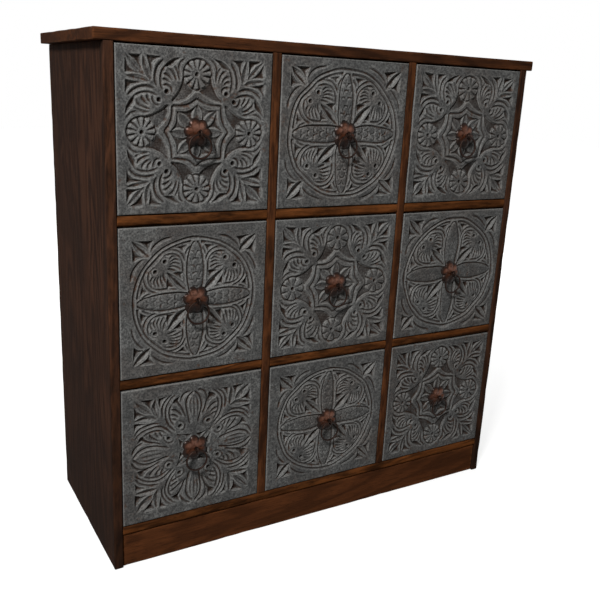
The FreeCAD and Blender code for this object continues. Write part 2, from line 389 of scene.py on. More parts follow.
def swept_board(corners, ends, axis, grain, seed, rounding=EDGE_ROUNDING, arris=None, step=BOARD_STEP,
                wave=PLANE_WAVE):
    """Planed board: a right-angled section along an axis, worn round at its edges and slightly wavy.

    corners are in the two axes that follow axis, anticlockwise. grain is the axis along which the wood runs.
    rounding is the wear of the board's ends, and arris that of its long edges where it is another.
    """
    corners = np.asarray(corners, float)
    arris = arris or rounding
    around, ways, wear, nearest, mitres = section_line(corners, arris, step)
    length = ends[1] - ends[0]
    along = lines_along(length, rounding, step)
    from_end = np.minimum(along, length - along)
    bite = np.clip(rounding - from_end, 0, rounding)
    inset = rounding - np.sqrt(rounding**2 - bite**2)
    end_wear = np.where(from_end < 1.1 * rounding, 1.0, np.where(from_end < 3 * rounding, 0.3, 0.0))
    # a plain face in the middle of each end, inside its worn edge
    inside = min(2.2 * rounding, 0.4 * np.ptp(corners, axis=0).min())
    along = np.concatenate([[0], along, [length]])
    inset = np.concatenate([[0], inset, [0]])
    end_wear = np.concatenate([[0], end_wear, [0]])
    across = around[None] - ways[None] * inset[:, None, None]
    across[[0, -1]] = (corners - inside * mitres)[nearest]
    points = np.zeros((len(along), len(around), 3))
    first, second = (axis + 1) % 3, (axis + 2) % 3
    points[..., axis] = ends[0] + along[:, None]
    points[..., first], points[..., second] = across[..., 0], across[..., 1]
    flat = points.reshape(-1, 3)
    worn = np.maximum(wear[None], end_wear[:, None])
    worn[[0, -1]] = 0
    worn = worn.ravel()
    nicks = 0.5 * rounding * np.clip(wander(flat, NICK_SPACING, seed + 5) - 0.15, 0, 1) * (worn > 0.9)
    waves = wave * np.clip(0.5 - 0.5 * wander(flat, PLANE_WAVELENGTH, seed), 0, 1)
    waves[:len(around)] = 0
    waves[-len(around):] = 0
    outward = np.zeros_like(points)
    outward[..., first], outward[..., second] = ways[None, :, 0], ways[None, :, 1]
    moved = flat - outward.reshape(-1, 3) * (nicks + waves)[:, None]
    faces = tube_faces(len(along), len(around))
    return welded(moved, faces, {"worn": worn, "grain_place": grain_place(flat, grain, seed)})


def grain_place(points, grain, seed):
    """Across the board from its middle, through its thickness and along its grain, in metres.

    The last two are shifted by a random amount, so that no two boards show the same grain.
    """
    others = [axis for axis in (X, Y, Z) if axis != grain]
    thickness, width = sorted(others, key=lambda axis: np.ptp(points[:, axis]))
    place = points[:, [width, thickness, grain]] * MM
    place[:, 0] -= (place[:, 0].max() + place[:, 0].min()) / 2
    place[:, 1:] += np.random.default_rng(seed).uniform(-4, 4, 2)
    return place


def board(low, high, grain, seed, **settings):
    """Plain board between two corners, swept along its grain."""
    first, second = (grain + 1) % 3, (grain + 2) % 3
    corners = [(low[first], low[second]), (high[first], low[second]), (high[first], high[second]),
               (low[first], high[second])]
    return swept_board(corners, (low[grain], high[grain]), grain, grain, seed, **settings)


# Carving tools. They cut h, the height in millimetres at points p, q given as shares of half the front.

def smooth_path(points, steps=6):
    """Smooth path through a few points."""
    p = np.array(points, float)
    p = np.vstack([2 * p[0] - p[1], p, 2 * p[-1] - p[-2]])
    t = np.linspace(0, 1, steps, endpoint=False)[:, None]
    pieces = []
    for a, b, c, d in zip(p[:-3], p[1:-2], p[2:-1], p[3:]):
        bend = 2 * a - 5 * b + 4 * c - d
        twist = 3 * b - a - 3 * c + d
        pieces.append(0.5 * (2 * b + (c - a) * t + bend * t**2 + twist * t**3))
    return np.vstack(pieces + [p[-2:-1]])


def near_path(p, q, path, reach):
    """Which points lie within reach of a path, their distance from it and how far along it they are."""
    low, high = path.min(0) - reach, path.max(0) + reach
    near = np.flatnonzero((p > low[0]) & (p < high[0]) & (q > low[1]) & (q < high[1]))
    best = np.full(len(near), 1e9)
    share = np.zeros(len(near))
    lengths = np.hypot(*np.diff(path, axis=0).T)
    starts = np.concatenate([[0], np.cumsum(lengths)])
    for a, b, length, start in zip(path[:-1], path[1:], lengths, starts):
        way = (b - a) / max(length, 1e-9)
        dp, dq = p[near] - a[0], q[near] - a[1]
        t = np.clip(dp * way[0] + dq * way[1], 0, length)
        distance = np.hypot(dp - t * way[0], dq - t * way[1])
        closer = distance < best
        best[closer] = distance[closer]
        share[closer] = (start + t[closer]) / starts[-1]
    return near, best, share


def groove(h, p, q, points, width=0.024, depth=2.8, run_out=0.25):
    """V cut with soft shoulders along a smooth path, running out at both ends."""
    near, distance, share = near_path(p, q, smooth_path(points), 2.2 * width)
    ends = np.clip(np.minimum(share, 1 - share) / max(run_out, 1e-6), 0, 1) ** 0.6
    wide = width * (0.35 + 0.65 * ends)
    core = np.clip(1 - distance / wide, 0, 1) ** 0.85
    shoulder = np.clip(1 - distance / (2.2 * wide), 0, 1) ** 2
    h[near] = np.minimum(h[near], -depth * ends * (0.75 * core + 0.25 * shoulder))


def hollow_leaf(h, p, q, points, width, depth):
    """Pointed leaf cut to a V along its midrib, its rim left at the face."""
    near, distance, share = near_path(p, q, smooth_path(points), width)
    wide = width * np.sin(math.pi * np.clip(share, 0, 1) ** 0.8) + 1e-6
    inside = (distance < wide) & (share > 0) & (share < 1)
    cut = -depth * np.clip(1 - distance / wide, 0, 1) ** 0.9 * np.sqrt(np.clip(np.sin(math.pi * share), 0, 1))
    h[near[inside]] = np.minimum(h[near[inside]], cut[inside])


def raised_leaf(h, p, q, points, width, depth, top=-0.4, wall=6.0):
    """Pointed leaf standing out of sunk ground, with a V along its midrib."""
    near, distance, share = near_path(p, q, smooth_path(points), 1.3 * width)
    wide = width * np.sin(math.pi * np.clip(share, 0, 1) ** 1.25) ** 0.9 + 0.004
    across = distance / wide
    rim = top - depth * np.clip(1 - across, 0, 1) ** 0.9
    drop = wall * np.clip((across - 1) / 0.25, 0, 1)
    h[near] = np.maximum(h[near], rim - drop)


def chip(h, p, q, corners, depth=6.0, slope=320.0):
    """Chip with sloping walls down to a flat floor, inside a polygon."""
    corners = np.array(corners, float)
    low, high = corners.min(0), corners.max(0)
    near = np.flatnonzero((p > low[0]) & (p < high[0]) & (q > low[1]) & (q < high[1]))
    inside = np.zeros(len(near), bool)
    best = np.full(len(near), 1e9)
    for a, b in zip(corners, np.roll(corners, -1, axis=0)):
        dp, dq = b - a
        t = np.clip(((p[near] - a[0]) * dp + (q[near] - a[1]) * dq) / max(dp * dp + dq * dq, 1e-12), 0, 1)
        best = np.minimum(best, np.hypot(p[near] - a[0] - t * dp, q[near] - a[1] - t * dq))
        crosses = (a[1] > q[near]) != (b[1] > q[near])
        rise = dq if dq else 1e-12
        inside ^= crosses & (p[near] < a[0] + (q[near] - a[1]) / rise * dp)
    chosen = near[inside]
    h[chosen] = np.minimum(h[chosen], -np.minimum(depth, slope * best[inside]))


def drill(h, p, q, centre, radius=0.028, depth=9.0):
    """Round hole with a sloping rim."""
    distance = np.hypot(p - centre[0], q - centre[1])
    h[:] = np.minimum(h, -depth * np.clip((radius - distance) / (0.4 * radius), 0, 1))


def ring_cut(h, p, q, radius, width, depth, keep):
    """V cut along a circle about the middle, only where keep is true."""
    off = np.abs(np.hypot(p, q) - radius)
    on = (off < width) & keep
    h[on] = np.minimum(h[on], -depth * (1 - off[on] / width))


def daisy(h, p, q, centre, radius, petals, depth):
    """Round flower: wedges cut between round-ended petals, a ring cut round them, a drilled middle."""
    dp, dq = p - centre[0], q - centre[1]
    r = np.hypot(dp, dq) / radius
    turn = np.arctan2(dp, dq) * petals / (2 * math.pi)
    off = np.abs(turn - np.floor(turn) - 0.5) * 2  # 0 in the middle of a wedge, 1 on the middle of a petal
    opening = 0.42 * np.clip((r - 0.3) / 0.5, 0, 1) * petals / 12
    wedge = -depth * np.clip(1.3 - 1.3 * off / np.maximum(opening, 1e-6), 0, 1) * (r > 0.3)
    edge = 1 - 0.12 * (1 - off) ** 2
    rim = np.clip((r - edge + 0.08) / 0.1, 0, 1) ** 1.5
    pillow = -0.7 * (1 - off**0.7) * np.clip(r, 0, 1)
    cut = np.minimum(wedge, pillow - 0.6 * depth * rim)
    inside = r < 1.02
    h[inside] = np.minimum(h[inside], cut[inside])
    trench = -0.6 * depth * np.clip(1 - np.abs(r - 1.02) / 0.08, 0, 1)
    h[:] = np.minimum(h, trench)
    drill(h, p, q, centre, 0.026)


# Carved patterns. Each is drawn once, in the eighth of the front between the middle line and the diagonal:
# p runs across from the middle line, q runs out to the edge, both as shares of half the front.

def star_carving(p, q, daisy_petals):
    """Flower in an eight-cornered star, daisies at its points, curled leaves, sprays in the corners."""
    h = np.zeros_like(p)
    # star: sunk inside, with an eight-leaved flower; its band is split by one line
    inside = [(0, 0.352), (0.045, 0.318), (0.09, 0.286), (0.14, 0.268), (0.262, 0.264), (0.268, 0.14),
              (0.286, 0.09), (0.318, 0.045), (0.33, -0.3), (-0.3, -0.3), (-0.3, 0.286), (-0.045, 0.318)]
    chip(h, p, q, inside, 3.5)
    raised_leaf(h, p, q, [(0, 0.02), (0, 0.345)], 0.052, 2.4)
    raised_leaf(h, p, q, [(0.01, 0.01), (0.258, 0.258)], 0.052, 2.4)
    band_line = [(0, 0.42), (0.04, 0.392), (0.09, 0.36), (0.18, 0.331), (0.318, 0.316)]
    groove(h, p, q, band_line, 0.02, 2.8, 0)
    # sunk ground between the star, the daisy and the curled leaf
    ground = [(0.315, 0.366), (0.255, 0.425), (0.21, 0.505), (0.18, 0.58), (0.165, 0.645), (0.14, 0.585),
              (0.10, 0.543), (0.045, 0.523), (0.03, 0.502), (0.08, 0.455), (0.15, 0.402), (0.24, 0.368)]
    chip(h, p, q, ground, 3.2, 240)
    daisy(h, p, q, (0, 0.70), 0.18, daisy_petals, 4.6)
    ground_edge = [(0.17, 0.67), (0.18, 0.585), (0.21, 0.51), (0.255, 0.433), (0.325, 0.362)]
    groove(h, p, q, ground_edge, 0.026, 4.8, 0.12)
    beside_daisy = [(0.15, 0.888), (0.215, 0.83), (0.243, 0.765), (0.238, 0.70), (0.222, 0.65)]
    groove(h, p, q, beside_daisy, 0.017, 2.2)
    # curled leaf: two outlines, a deep chip at its tip, ribs and a drilled eye
    outer = [(0.51, 0.535), (0.535, 0.62), (0.53, 0.70), (0.50, 0.78), (0.43, 0.86)]
    groove(h, p, q, outer, 0.024, 3.6, 0.2)
    inner = [(0.425, 0.49), (0.455, 0.57), (0.465, 0.65), (0.45, 0.73), (0.41, 0.79)]
    groove(h, p, q, inner, 0.019, 2.8, 0.2)
    tip = [(0.20, 0.888), (0.30, 0.872), (0.375, 0.832), (0.445, 0.772), (0.38, 0.768), (0.335, 0.775),
           (0.295, 0.80), (0.262, 0.84)]
    chip(h, p, q, tip)
    fold = [(0.30, 0.79), (0.268, 0.74), (0.242, 0.67), (0.232, 0.60)]
    groove(h, p, q, fold, 0.019, 2.6)
    ribs = [
        [(0.395, 0.765), (0.33, 0.73), (0.287, 0.665), (0.265, 0.59)],
        [(0.445, 0.70), (0.39, 0.688), (0.34, 0.645), (0.315, 0.60)],
        [(0.452, 0.635), (0.39, 0.625), (0.335, 0.58)],
        [(0.44, 0.555), (0.38, 0.562), (0.325, 0.525), (0.318, 0.465)],
    ]
    for rib in ribs:
        groove(h, p, q, rib, 0.02, 2.6, 0.3)
    drill(h, p, q, (0.378, 0.48))
    # spray of leaves into the corner
    hollow_leaf(h, p, q, [(0.655, 0.655), (0.888, 0.888)], 0.05, 3.4)
    hollow_leaf(h, p, q, [(0.596, 0.605), (0.63, 0.75), (0.655, 0.888)], 0.046, 3.2)
    chip(h, p, q, [(0.684, 0.888), (0.86, 0.892), (0.78, 0.83), (0.715, 0.765), (0.668, 0.69), (0.684, 0.79)])
    chip(h, p, q, [(0.445, 0.888), (0.612, 0.888), (0.60, 0.80), (0.585, 0.665), (0.55, 0.80), (0.50, 0.86)])
    return h


def scales(h, p, q, edge, depth):
    """Overlapping scales on a petal with the given half width: stop cuts, each with a slope behind it."""
    row = np.floor(q / SCALE_LENGTH)
    lane = p / SCALE_WIDTH + 0.5 * (row % 2)
    across = lane - np.floor(lane) - 0.5
    rise = q / SCALE_LENGTH - row - 0.9 * np.sqrt(np.clip(1 - (2 * across) ** 2, 0, 1))
    slope = np.where(rise > 0, 1 - rise / 0.5, 1 + rise / 0.12)
    cut = -0.3 - depth * np.clip(slope, 0, 1)
    inside = (p < edge) & (q > 0.12)
    ease = np.clip((edge - p) / 0.018, 0, 1)
    h[inside] = np.minimum(h[inside], (cut * ease)[inside])


def wheel_carving(p, q, scale_depth):
    """Ring with four long scaled petals, a heart of two fans between each pair, leaves in the corners."""
    h = np.zeros_like(p)
    # ring: two cuts with a slim round band between them
    ring_cut(h, p, q, 0.872, 0.022, 2.6, q < 0.9)
    ring_cut(h, p, q, 0.814, 0.028, 3.2, p > 0.07)
    # long petal, rounded across, with scales on it
    tip = 0.82
    edge = 0.116 * np.sin(math.pi * np.clip(q / tip, 0, 1) ** 0.95) ** 0.42
    on_petal = (q > 0.02) & (q < tip)
    rounded = -1.8 * np.clip(p / np.maximum(edge, 1e-6), 0, 1) ** 3 * (p < edge)
    outline = -3.2 * np.clip(1 - np.abs(p - edge) / 0.02, 0, 1)
    h[on_petal] = np.minimum(h[on_petal], np.minimum(rounded, outline)[on_petal])
    scales(h, p, q, np.where(q < 0.74, edge - 0.012, -1), scale_depth)
    # heart: its inner and outer line, which run on along the petal
    inner = [(0.165, 0.26), (0.175, 0.40), (0.178, 0.50), (0.20, 0.58), (0.26, 0.632), (0.34, 0.655),
             (0.42, 0.648), (0.48, 0.61)]
    groove(h, p, q, inner, 0.018, 2.6, 0.1)
    outer = [(0.145, 0.54), (0.165, 0.61), (0.215, 0.672), (0.28, 0.705), (0.36, 0.715), (0.435, 0.70),
             (0.505, 0.65), (0.55, 0.61)]
    groove(h, p, q, outer, 0.02, 3.2, 0.1)
    groove(h, p, q, [(0.145, 0.63), (0.125, 0.69), (0.085, 0.755)], 0.016, 2.2)
    shoulder = [(0.115, 0.778), (0.20, 0.768), (0.30, 0.742), (0.235, 0.722), (0.175, 0.675), (0.15, 0.73)]
    chip(h, p, q, shoulder)
    # heart: ribs that fan out from the notch between the two eyes
    fan = [
        [(0.375, 0.585), (0.315, 0.618), (0.25, 0.605)],
        [(0.365, 0.545), (0.29, 0.576), (0.208, 0.555)],
        [(0.37, 0.512), (0.29, 0.53), (0.195, 0.50)],
        [(0.385, 0.482), (0.30, 0.482), (0.192, 0.44)],
        [(0.405, 0.455), (0.33, 0.442), (0.245, 0.402)],
    ]
    for rib in fan:
        groove(h, p, q, rib, 0.022, 3.2, 0.4)
    groove(h, p, q, [(0.385, 0.60), (0.445, 0.618), (0.49, 0.585), (0.495, 0.545)], 0.015, 1.8)
    drill(h, p, q, (0.435, 0.563))
    chip(h, p, q, [(0.172, 0.40), (0.235, 0.412), (0.325, 0.398), (0.255, 0.34), (0.19, 0.29)])
    # slim leaf on the diagonal, cut to a steep V
    hollow_leaf(h, p, q, [(0.12, 0.12), (0.405, 0.405)], 0.064, 7.5)
    # crescent beside the ring, leaf and chip in the corner
    crescent = [(0.32, 0.90), (0.45, 0.866), (0.54, 0.812), (0.60, 0.755), (0.63, 0.71)]
    groove(h, p, q, crescent, 0.02, 2.8)
    hollow_leaf(h, p, q, [(0.632, 0.632), (0.87, 0.87)], 0.058, 7.0)
    chip(h, p, q, [(0.59, 0.858), (0.81, 0.868), (0.745, 0.83), (0.68, 0.77), (0.65, 0.715), (0.635, 0.80)])
    return h


def blossom_carving(p, q):
    """Four veined petals, curled leaves beside them and a spray in each corner, in a wide plain border."""
    h = np.zeros_like(p)
    # petal: a veined core and one fold outside it
    core = [(0.0, 0.865), (0.075, 0.79), (0.112, 0.70), (0.112, 0.60), (0.085, 0.47), (0.06, 0.36)]
    fold = [(0.05, 0.878), (0.14, 0.832), (0.19, 0.755), (0.19, 0.66), (0.15, 0.55), (0.11, 0.46)]
    for outline in (core, fold):
        groove(h, p, q, outline, 0.022, 3.4, 0.1)
    groove(h, p, q, [(0.0, 0.80), (0.0, 0.42)], 0.018, 1.3, 0.3)
    groove(h, p, q, [(0.035, 0.78), (0.06, 0.66), (0.045, 0.48)], 0.017, 1.4, 0.3)
    # curled leaf: outlines, deep chip at its tip, ribs and a drilled eye
    outer = [(0.45, 0.51), (0.462, 0.60), (0.445, 0.70), (0.395, 0.78), (0.31, 0.845)]
    groove(h, p, q, outer, 0.022, 3.2, 0.2)
    middle = [(0.265, 0.295), (0.35, 0.395), (0.403, 0.50), (0.412, 0.61), (0.385, 0.71), (0.325, 0.79),
              (0.26, 0.84)]
    groove(h, p, q, middle, 0.021, 3.2, 0.15)
    inner = [(0.275, 0.37), (0.33, 0.46), (0.355, 0.56), (0.348, 0.65), (0.315, 0.715)]
    groove(h, p, q, inner, 0.02, 3.0, 0.2)
    tip = [(0.21, 0.81), (0.29, 0.77), (0.318, 0.725), (0.25, 0.69), (0.185, 0.615), (0.145, 0.53),
           (0.17, 0.64), (0.205, 0.73)]
    chip(h, p, q, tip)
    ribs = [
        [(0.345, 0.635), (0.275, 0.61), (0.21, 0.55), (0.165, 0.50)],
        [(0.352, 0.55), (0.285, 0.53), (0.225, 0.485)],
        [(0.335, 0.475), (0.285, 0.468), (0.235, 0.44)],
    ]
    for rib in ribs:
        groove(h, p, q, rib, 0.022, 3.2, 0.3)
    curl = [(0.275, 0.385), (0.24, 0.43), (0.18, 0.42), (0.14, 0.37), (0.155, 0.305), (0.21, 0.28)]
    groove(h, p, q, curl, 0.017, 1.6)
    drill(h, p, q, (0.207, 0.362))
    # spray of leaves into the corner
    hollow_leaf(h, p, q, [(0.60, 0.60), (0.83, 0.83)], 0.052, 3.4)
    hollow_leaf(h, p, q, [(0.525, 0.53), (0.555, 0.67), (0.545, 0.838)], 0.05, 4.2)
    chip(h, p, q, [(0.565, 0.835), (0.75, 0.842), (0.685, 0.79), (0.625, 0.71), (0.60, 0.66), (0.60, 0.76)])
    chip(h, p, q, [(0.37, 0.842), (0.50, 0.835), (0.505, 0.77), (0.49, 0.67), (0.455, 0.77), (0.42, 0.815)])
    # dark leaf tips round the middle
    chip(h, p, q, [(0.03, 0.20), (0.13, 0.215), (0.255, 0.255), (0.215, 0.13), (0.20, 0.03)])
    raised_leaf(h, p, q, [(0.02, 0.02), (0.25, 0.25)], 0.036, 2.0)
    return h


PATTERNS = {"star": star_carving, "wheel": wheel_carving, "blossom": blossom_carving}


# Carved drawer fronts

def front_lines(half):
    """Grid lines across a front: fine over the carved field, wider on the border, close on the arris."""
    arris = half - FRONT_ROUNDING * np.array([0, 0.1, 0.3, 0.6])
    field = FIELD * half
    count = int((half - FRONT_ROUNDING - field) / BORDER_STEP) + 1
    side = np.concatenate([arris, np.linspace(half - FRONT_ROUNDING, field, count + 1)])
    fine = np.linspace(-field, field, int(round(2 * field / CARVING_STEP)) + 1)[1:-1]
    return np.concatenate([-side, fine, side[::-1]])


def blurred(grid, cells):
    """Running mean over a square that reaches the given number of cells each way."""
    for axis in (0, 1):
        pad = [(cells + 1, cells) if i == axis else (0, 0) for i in (0, 1)]
        total = np.cumsum(np.pad(grid, pad, mode="edge"), axis=axis)
        count = grid.shape[axis]
        upper = np.take(total, np.arange(2 * cells + 1, 2 * cells + 1 + count), axis=axis)
        lower = np.take(total, np.arange(count), axis=axis)
        grid = (upper - lower) / (2 * cells + 1)
    return grid


def carved_height(x, z, half_x, half_z, carving, seed):
    """Height of the carved face over the grid of a front, at most 0."""
    flat = np.stack([x.ravel() / half_x, z.ravel() / half_z], 1)
    u = np.abs(flat[:, 0] + HAND_WANDER * wander(flat, HAND_WAVELENGTH, seed))
    v = np.abs(flat[:, 1] + HAND_WANDER * wander(flat, HAND_WAVELENGTH, seed + 1))
    pattern, size, details = carving
    h = PATTERNS[pattern](np.minimum(u, v) / size, np.maximum(u, v) / size, **details)
    h = DEEPEST * (np.exp(RELIEF * h / DEEPEST) - 1)
    h *= 1 + DEPTH_UNEVEN * wander(flat, DEPTH_WAVELENGTH, seed + 2)
    h = h.reshape(x.shape)
    h = (1 - SOFTENING) * h + SOFTENING * blurred(h, 1)
    gouged = GOUGE_MARKS * wander(flat, GOUGE_WAVELENGTH, seed + 3).reshape(x.shape)
    gouged *= np.clip(-h / GOUGED_DEPTH, 0, 1)
    planed = PLANE_MARKS * (wander(flat, PLANE_MARK_WAVELENGTH, seed + 4).reshape(x.shape) - 1)
    return np.minimum(h + gouged + planed, 0)


def front_body(place, low, high, middle, rim):
    """Points and faces behind the carved face: square edges, and rebates that take the drawer's sides."""
    box_low, box_high = cad_box(place + "_drawer_box")
    inner = (box_high[0] - box_low[0]) / 2 - DRAWER_BOARD
    lap = low[1] + LAP_DEPTH
    points, corner = [], {}
    for z, level in ((low[2], "low"), (high[2], "high")):
        for hand in (-1, 1):
            outer_x = low[0] if hand < 0 else high[0]
            inner_x = middle[0] + hand * inner
            for part, point in (("outer", (outer_x, lap, z)), ("inner", (inner_x, lap, z)),
                                ("back", (inner_x, high[1], z))):
                corner[part, hand, level] = rim["count"] + len(points)
                points.append(point)
    faces = []

    def put(new_faces, turned_over):
        faces.extend(face[::-1] if turned_over else face for face in new_faces)

    def fan(edge, first, last, turned_over):
        """Triangles from an edge of the carved face to two points behind it."""
        half = len(edge) // 2
        triangles = [[a, b, first if i < half else last] for i, (a, b) in enumerate(zip(edge, edge[1:]))]
        put(triangles + [[edge[half], last, first]], turned_over)

    def wall(a, b):
        around = (a + ("low",), a + ("high",), b + ("high",), b + ("low",))
        put([[corner[key] for key in around]], False)

    for level, turned_over in (("low", True), ("high", False)):
        left, right = (
            {part: corner[part, hand, level] for part in ("outer", "inner", "back")} for hand in (-1, 1))
        fan(rim[level], left["inner"], right["inner"], turned_over)
        put([[rim[level][-1], right["outer"], right["inner"]], [left["inner"], left["outer"], rim[level][0]],
             [right["inner"], right["back"], left["back"], left["inner"]]], turned_over)
    fan(rim["left"], corner["outer", -1, "low"], corner["outer", -1, "high"], False)
    fan(rim["right"], corner["outer", 1, "low"], corner["outer", 1, "high"], True)
    wall(("inner", 1), ("outer", 1))
    wall(("outer", -1), ("inner", -1))
    wall(("back", 1), ("inner", 1))
    wall(("inner", -1), ("back", -1))
    wall(("back", -1), ("back", 1))
    return np.array(points), faces


def front_wear_and_shade(place, h, x, z, arris):
    """Dirt and painted shade on the floors of the cuts and in the hollows, rubbed ridges and edges, and
    bevels rubbed and lightened as a painted highlight.
    """
    slope = np.hypot(*np.gradient(blurred(h, 1), x[:, 0], z[0]))
    bevel = np.interp(slope, BEVEL_SLOPES, (0, 1, 1, 0))
    # sunk: how deep a point lies, darkening the floors of the cuts (soiling and painted shade), the bevels
    # less
    sunk = np.clip(-h / FULL_DEPTH, 0, 1) * (1 - BEVEL_UNDARKENED * bevel)
    # hollow: how far a point lies below its neighbours, darkening the creases (soiling and painted shade);
    # some fronts get extra painted shade here
    hollow = (blurred(h, HOLLOW_REACH) - h) / HOLLOW_DEPTH + EXTRA_CUT_SHADE.get(place, 0)
    shallow = np.maximum(h, -RUBBED_DEPTH)
    worn = np.clip((shallow - blurred(shallow, RIDGE_REACH)) / RIDGE_HEIGHT, 0, 1)
    worn += np.clip(arris / FRONT_ROUNDING, 0, 1)
    # bevels of deep cuts are lightened: rubbed paint and a painted highlight
    worn += BEVEL_RUB_AND_HIGHLIGHT * bevel * np.clip(-h / RUBBED_DEPTH - 0.5, 0, 1)
    return {"sunk": sunk, "hollow": np.clip(hollow, 0, 1), "worn": np.clip(worn, 0, 1)}


def carved_front(place, number):
    """Front board of a drawer: a carved and painted face, and bare wood behind it."""
    low, high = cad_box(place + "_drawer_front")
    middle = (low + high) / 2
    half_x, half_z = (high[0] - low[0]) / 2, (high[2] - low[2]) / 2
    x, z = np.meshgrid(front_lines(half_x), front_lines(half_z), indexing="ij")
    h = carved_height(x, z, half_x, half_z, CARVINGS[place], CARVING_SEED + 17 * number)
    from_edge = np.minimum(half_x - np.abs(x), half_z - np.abs(z))
    arris = FRONT_ROUNDING - np.clip(from_edge, 0, FRONT_ROUNDING)
    roll = FRONT_ROUNDING - np.sqrt(FRONT_ROUNDING**2 - arris**2)
    face = np.stack([x + middle[0], low[1] + roll - h, z + middle[2]], -1).reshape(-1, 3)
    index = np.arange(x.size).reshape(x.shape)
    faces = quads(index[:-1, :-1], index[1:, :-1], index[1:, 1:], index[:-1, 1:])
    rim = {"left": index[0].tolist(), "right": index[-1].tolist(), "low": index[:, 0].tolist(),
           "high": index[:, -1].tolist(), "count": x.size}
    back, back_faces = front_body(place, low, high, middle, rim)
    points = np.vstack([face, back])
    on_face = front_wear_and_shade(place, h, x, z, arris)
    on_face["painted"] = np.ones(len(face))
    values = {key: np.append(numbers.ravel(), np.zeros(len(back))) for key, numbers in on_face.items()}
    values["grain_place"] = grain_place(points, X, FRONT_GRAIN_SEED + number)
    made = add_object(place + "_carved_front", (points, faces + back_faces, values), PAINTED, len(faces))
    fit(made, place + "_drawer", place + "_drawer_front")


# Iron pulls, each about the middle of its drawer front's face

def turned(profile, turns, centre, axis):
    """Body turned about an axis through centre.

    profile is pairs of radius and distance along the axis, from one end to the other.
    """
    angle = np.arange(turns) * 2 * math.pi / turns
    first, second = (axis + 1) % 3, (axis + 2) % 3
    rings = []
    for radius, along in profile:
        ring = np.zeros((turns, 3))
        ring[:, axis] = along
        ring[:, first], ring[:, second] = radius * np.cos(angle), radius * np.sin(angle)
        rings.append(ring)
    return np.vstack(rings) + np.asarray(centre), tube_faces(len(profile), turns), {}


def wire_ring(centre, radius, wire, axis, around, section):
    """Wire bent to a ring about an axis through centre; wire is its thickness, all round or at each point."""
    a, b = np.meshgrid(np.arange(around) / around, np.arange(section) / section, indexing="ij")
    a, b = 2 * math.pi * a, 2 * math.pi * b
    half = np.broadcast_to(np.asarray(wire, float).reshape(-1, 1), a.shape) / 2
    points = np.zeros(a.shape + (3,))
    points[..., (axis + 1) % 3] = (radius + half * np.cos(b)) * np.cos(a)
    points[..., (axis + 2) % 3] = (radius + half * np.cos(b)) * np.sin(a)
    points[..., axis] = half * np.sin(b)
    return points.reshape(-1, 3) + np.asarray(centre), loop_faces(around, section), {}


def relief_cap(centre, reach, rise, hole, turn, turns=96, steps=18):
    """Closed cap on a plane facing -Y, with a round hole in it.

    reach gives its outline at an angle and rise its height at a radius and an angle, before the given turn.
    """
    angle = np.arange(turns) * 2 * math.pi / turns
    share = np.sin(0.5 * math.pi * np.linspace(0, 1, steps))
    rim = reach(angle)
    rings = []
    for s in share:
        radius = hole + (rim - hole) * s
        rings.append((radius, rise(radius, angle)))
    rings += [(rim, np.zeros(turns)), (np.full(turns, hole), np.zeros(turns))]
    across, up = np.cos(angle + turn), np.sin(angle + turn)
    points = np.vstack([np.stack([radius * across, -height, radius * up], 1) for radius, height in rings])
    return points + np.asarray(centre), loop_faces(len(rings), turns), {}


def dome(distance, radius, rise, fullness):
    """Height of a round dome at a distance from its middle."""
    return rise * np.sqrt(np.clip(1 - (distance / radius) ** fullness, 0, 1))


def flower(seed):
    """Outline and height of a flower: domed petals, no two alike, leaning outwards round a domed crown."""
    rng = np.random.default_rng(seed)
    sway = math.radians(PETAL_SWAY) * rng.uniform(-1, 1, PETALS)
    turns = np.arange(PETALS) * 2 * math.pi / PETALS + sway
    spans = PETAL_CIRCLE / 2 * (1 + PETAL_UNEVEN * rng.uniform(-1, 1, PETALS))
    halves = PETAL_WIDTH / 2 * (1 + PETAL_UNEVEN * rng.uniform(-1, 1, PETALS))

    def reach(angle):
        off = angle[:, None] - turns
        past_middle = np.sqrt(np.clip(halves**2 - (spans * np.sin(off)) ** 2, 0, None))
        return (spans * np.cos(off) + past_middle).max(1)

    def rise(radius, angle):
        off = angle[:, None] - turns
        out = radius[:, None]
        distance = np.sqrt(out**2 + spans**2 - 2 * out * spans * np.cos(off))
        lean = dome(radius, (PETAL_CIRCLE + PETAL_WIDTH) / 2 * (1 + PETAL_UNEVEN), 1.0, PETAL_LEAN)
        petal = dome(distance, halves, PETAL_RISE, PETAL_FULLNESS).max(1) * lean
        crown = dome(radius, CROWN_WIDTH / 2, CROWN_RISE, CROWN_FULLNESS)
        melted = np.log(np.exp(petal / CREASE) + np.exp(crown / CREASE)) * CREASE
        return np.maximum(melted - CREASE * math.log(2), SHEET_EDGE)

    return reach, rise


def hammered(shape, seed):
    """The shape with hammer dents in its face."""
    points, faces, values = shape
    dents = wander(points, DENT_SPACING, seed) + 0.5 * wander(points, SMALL_DENT_SPACING, seed + 1)
    moved = points.copy()
    moved[:, 1] += DENT * (dents + 1)
    return moved, faces, values


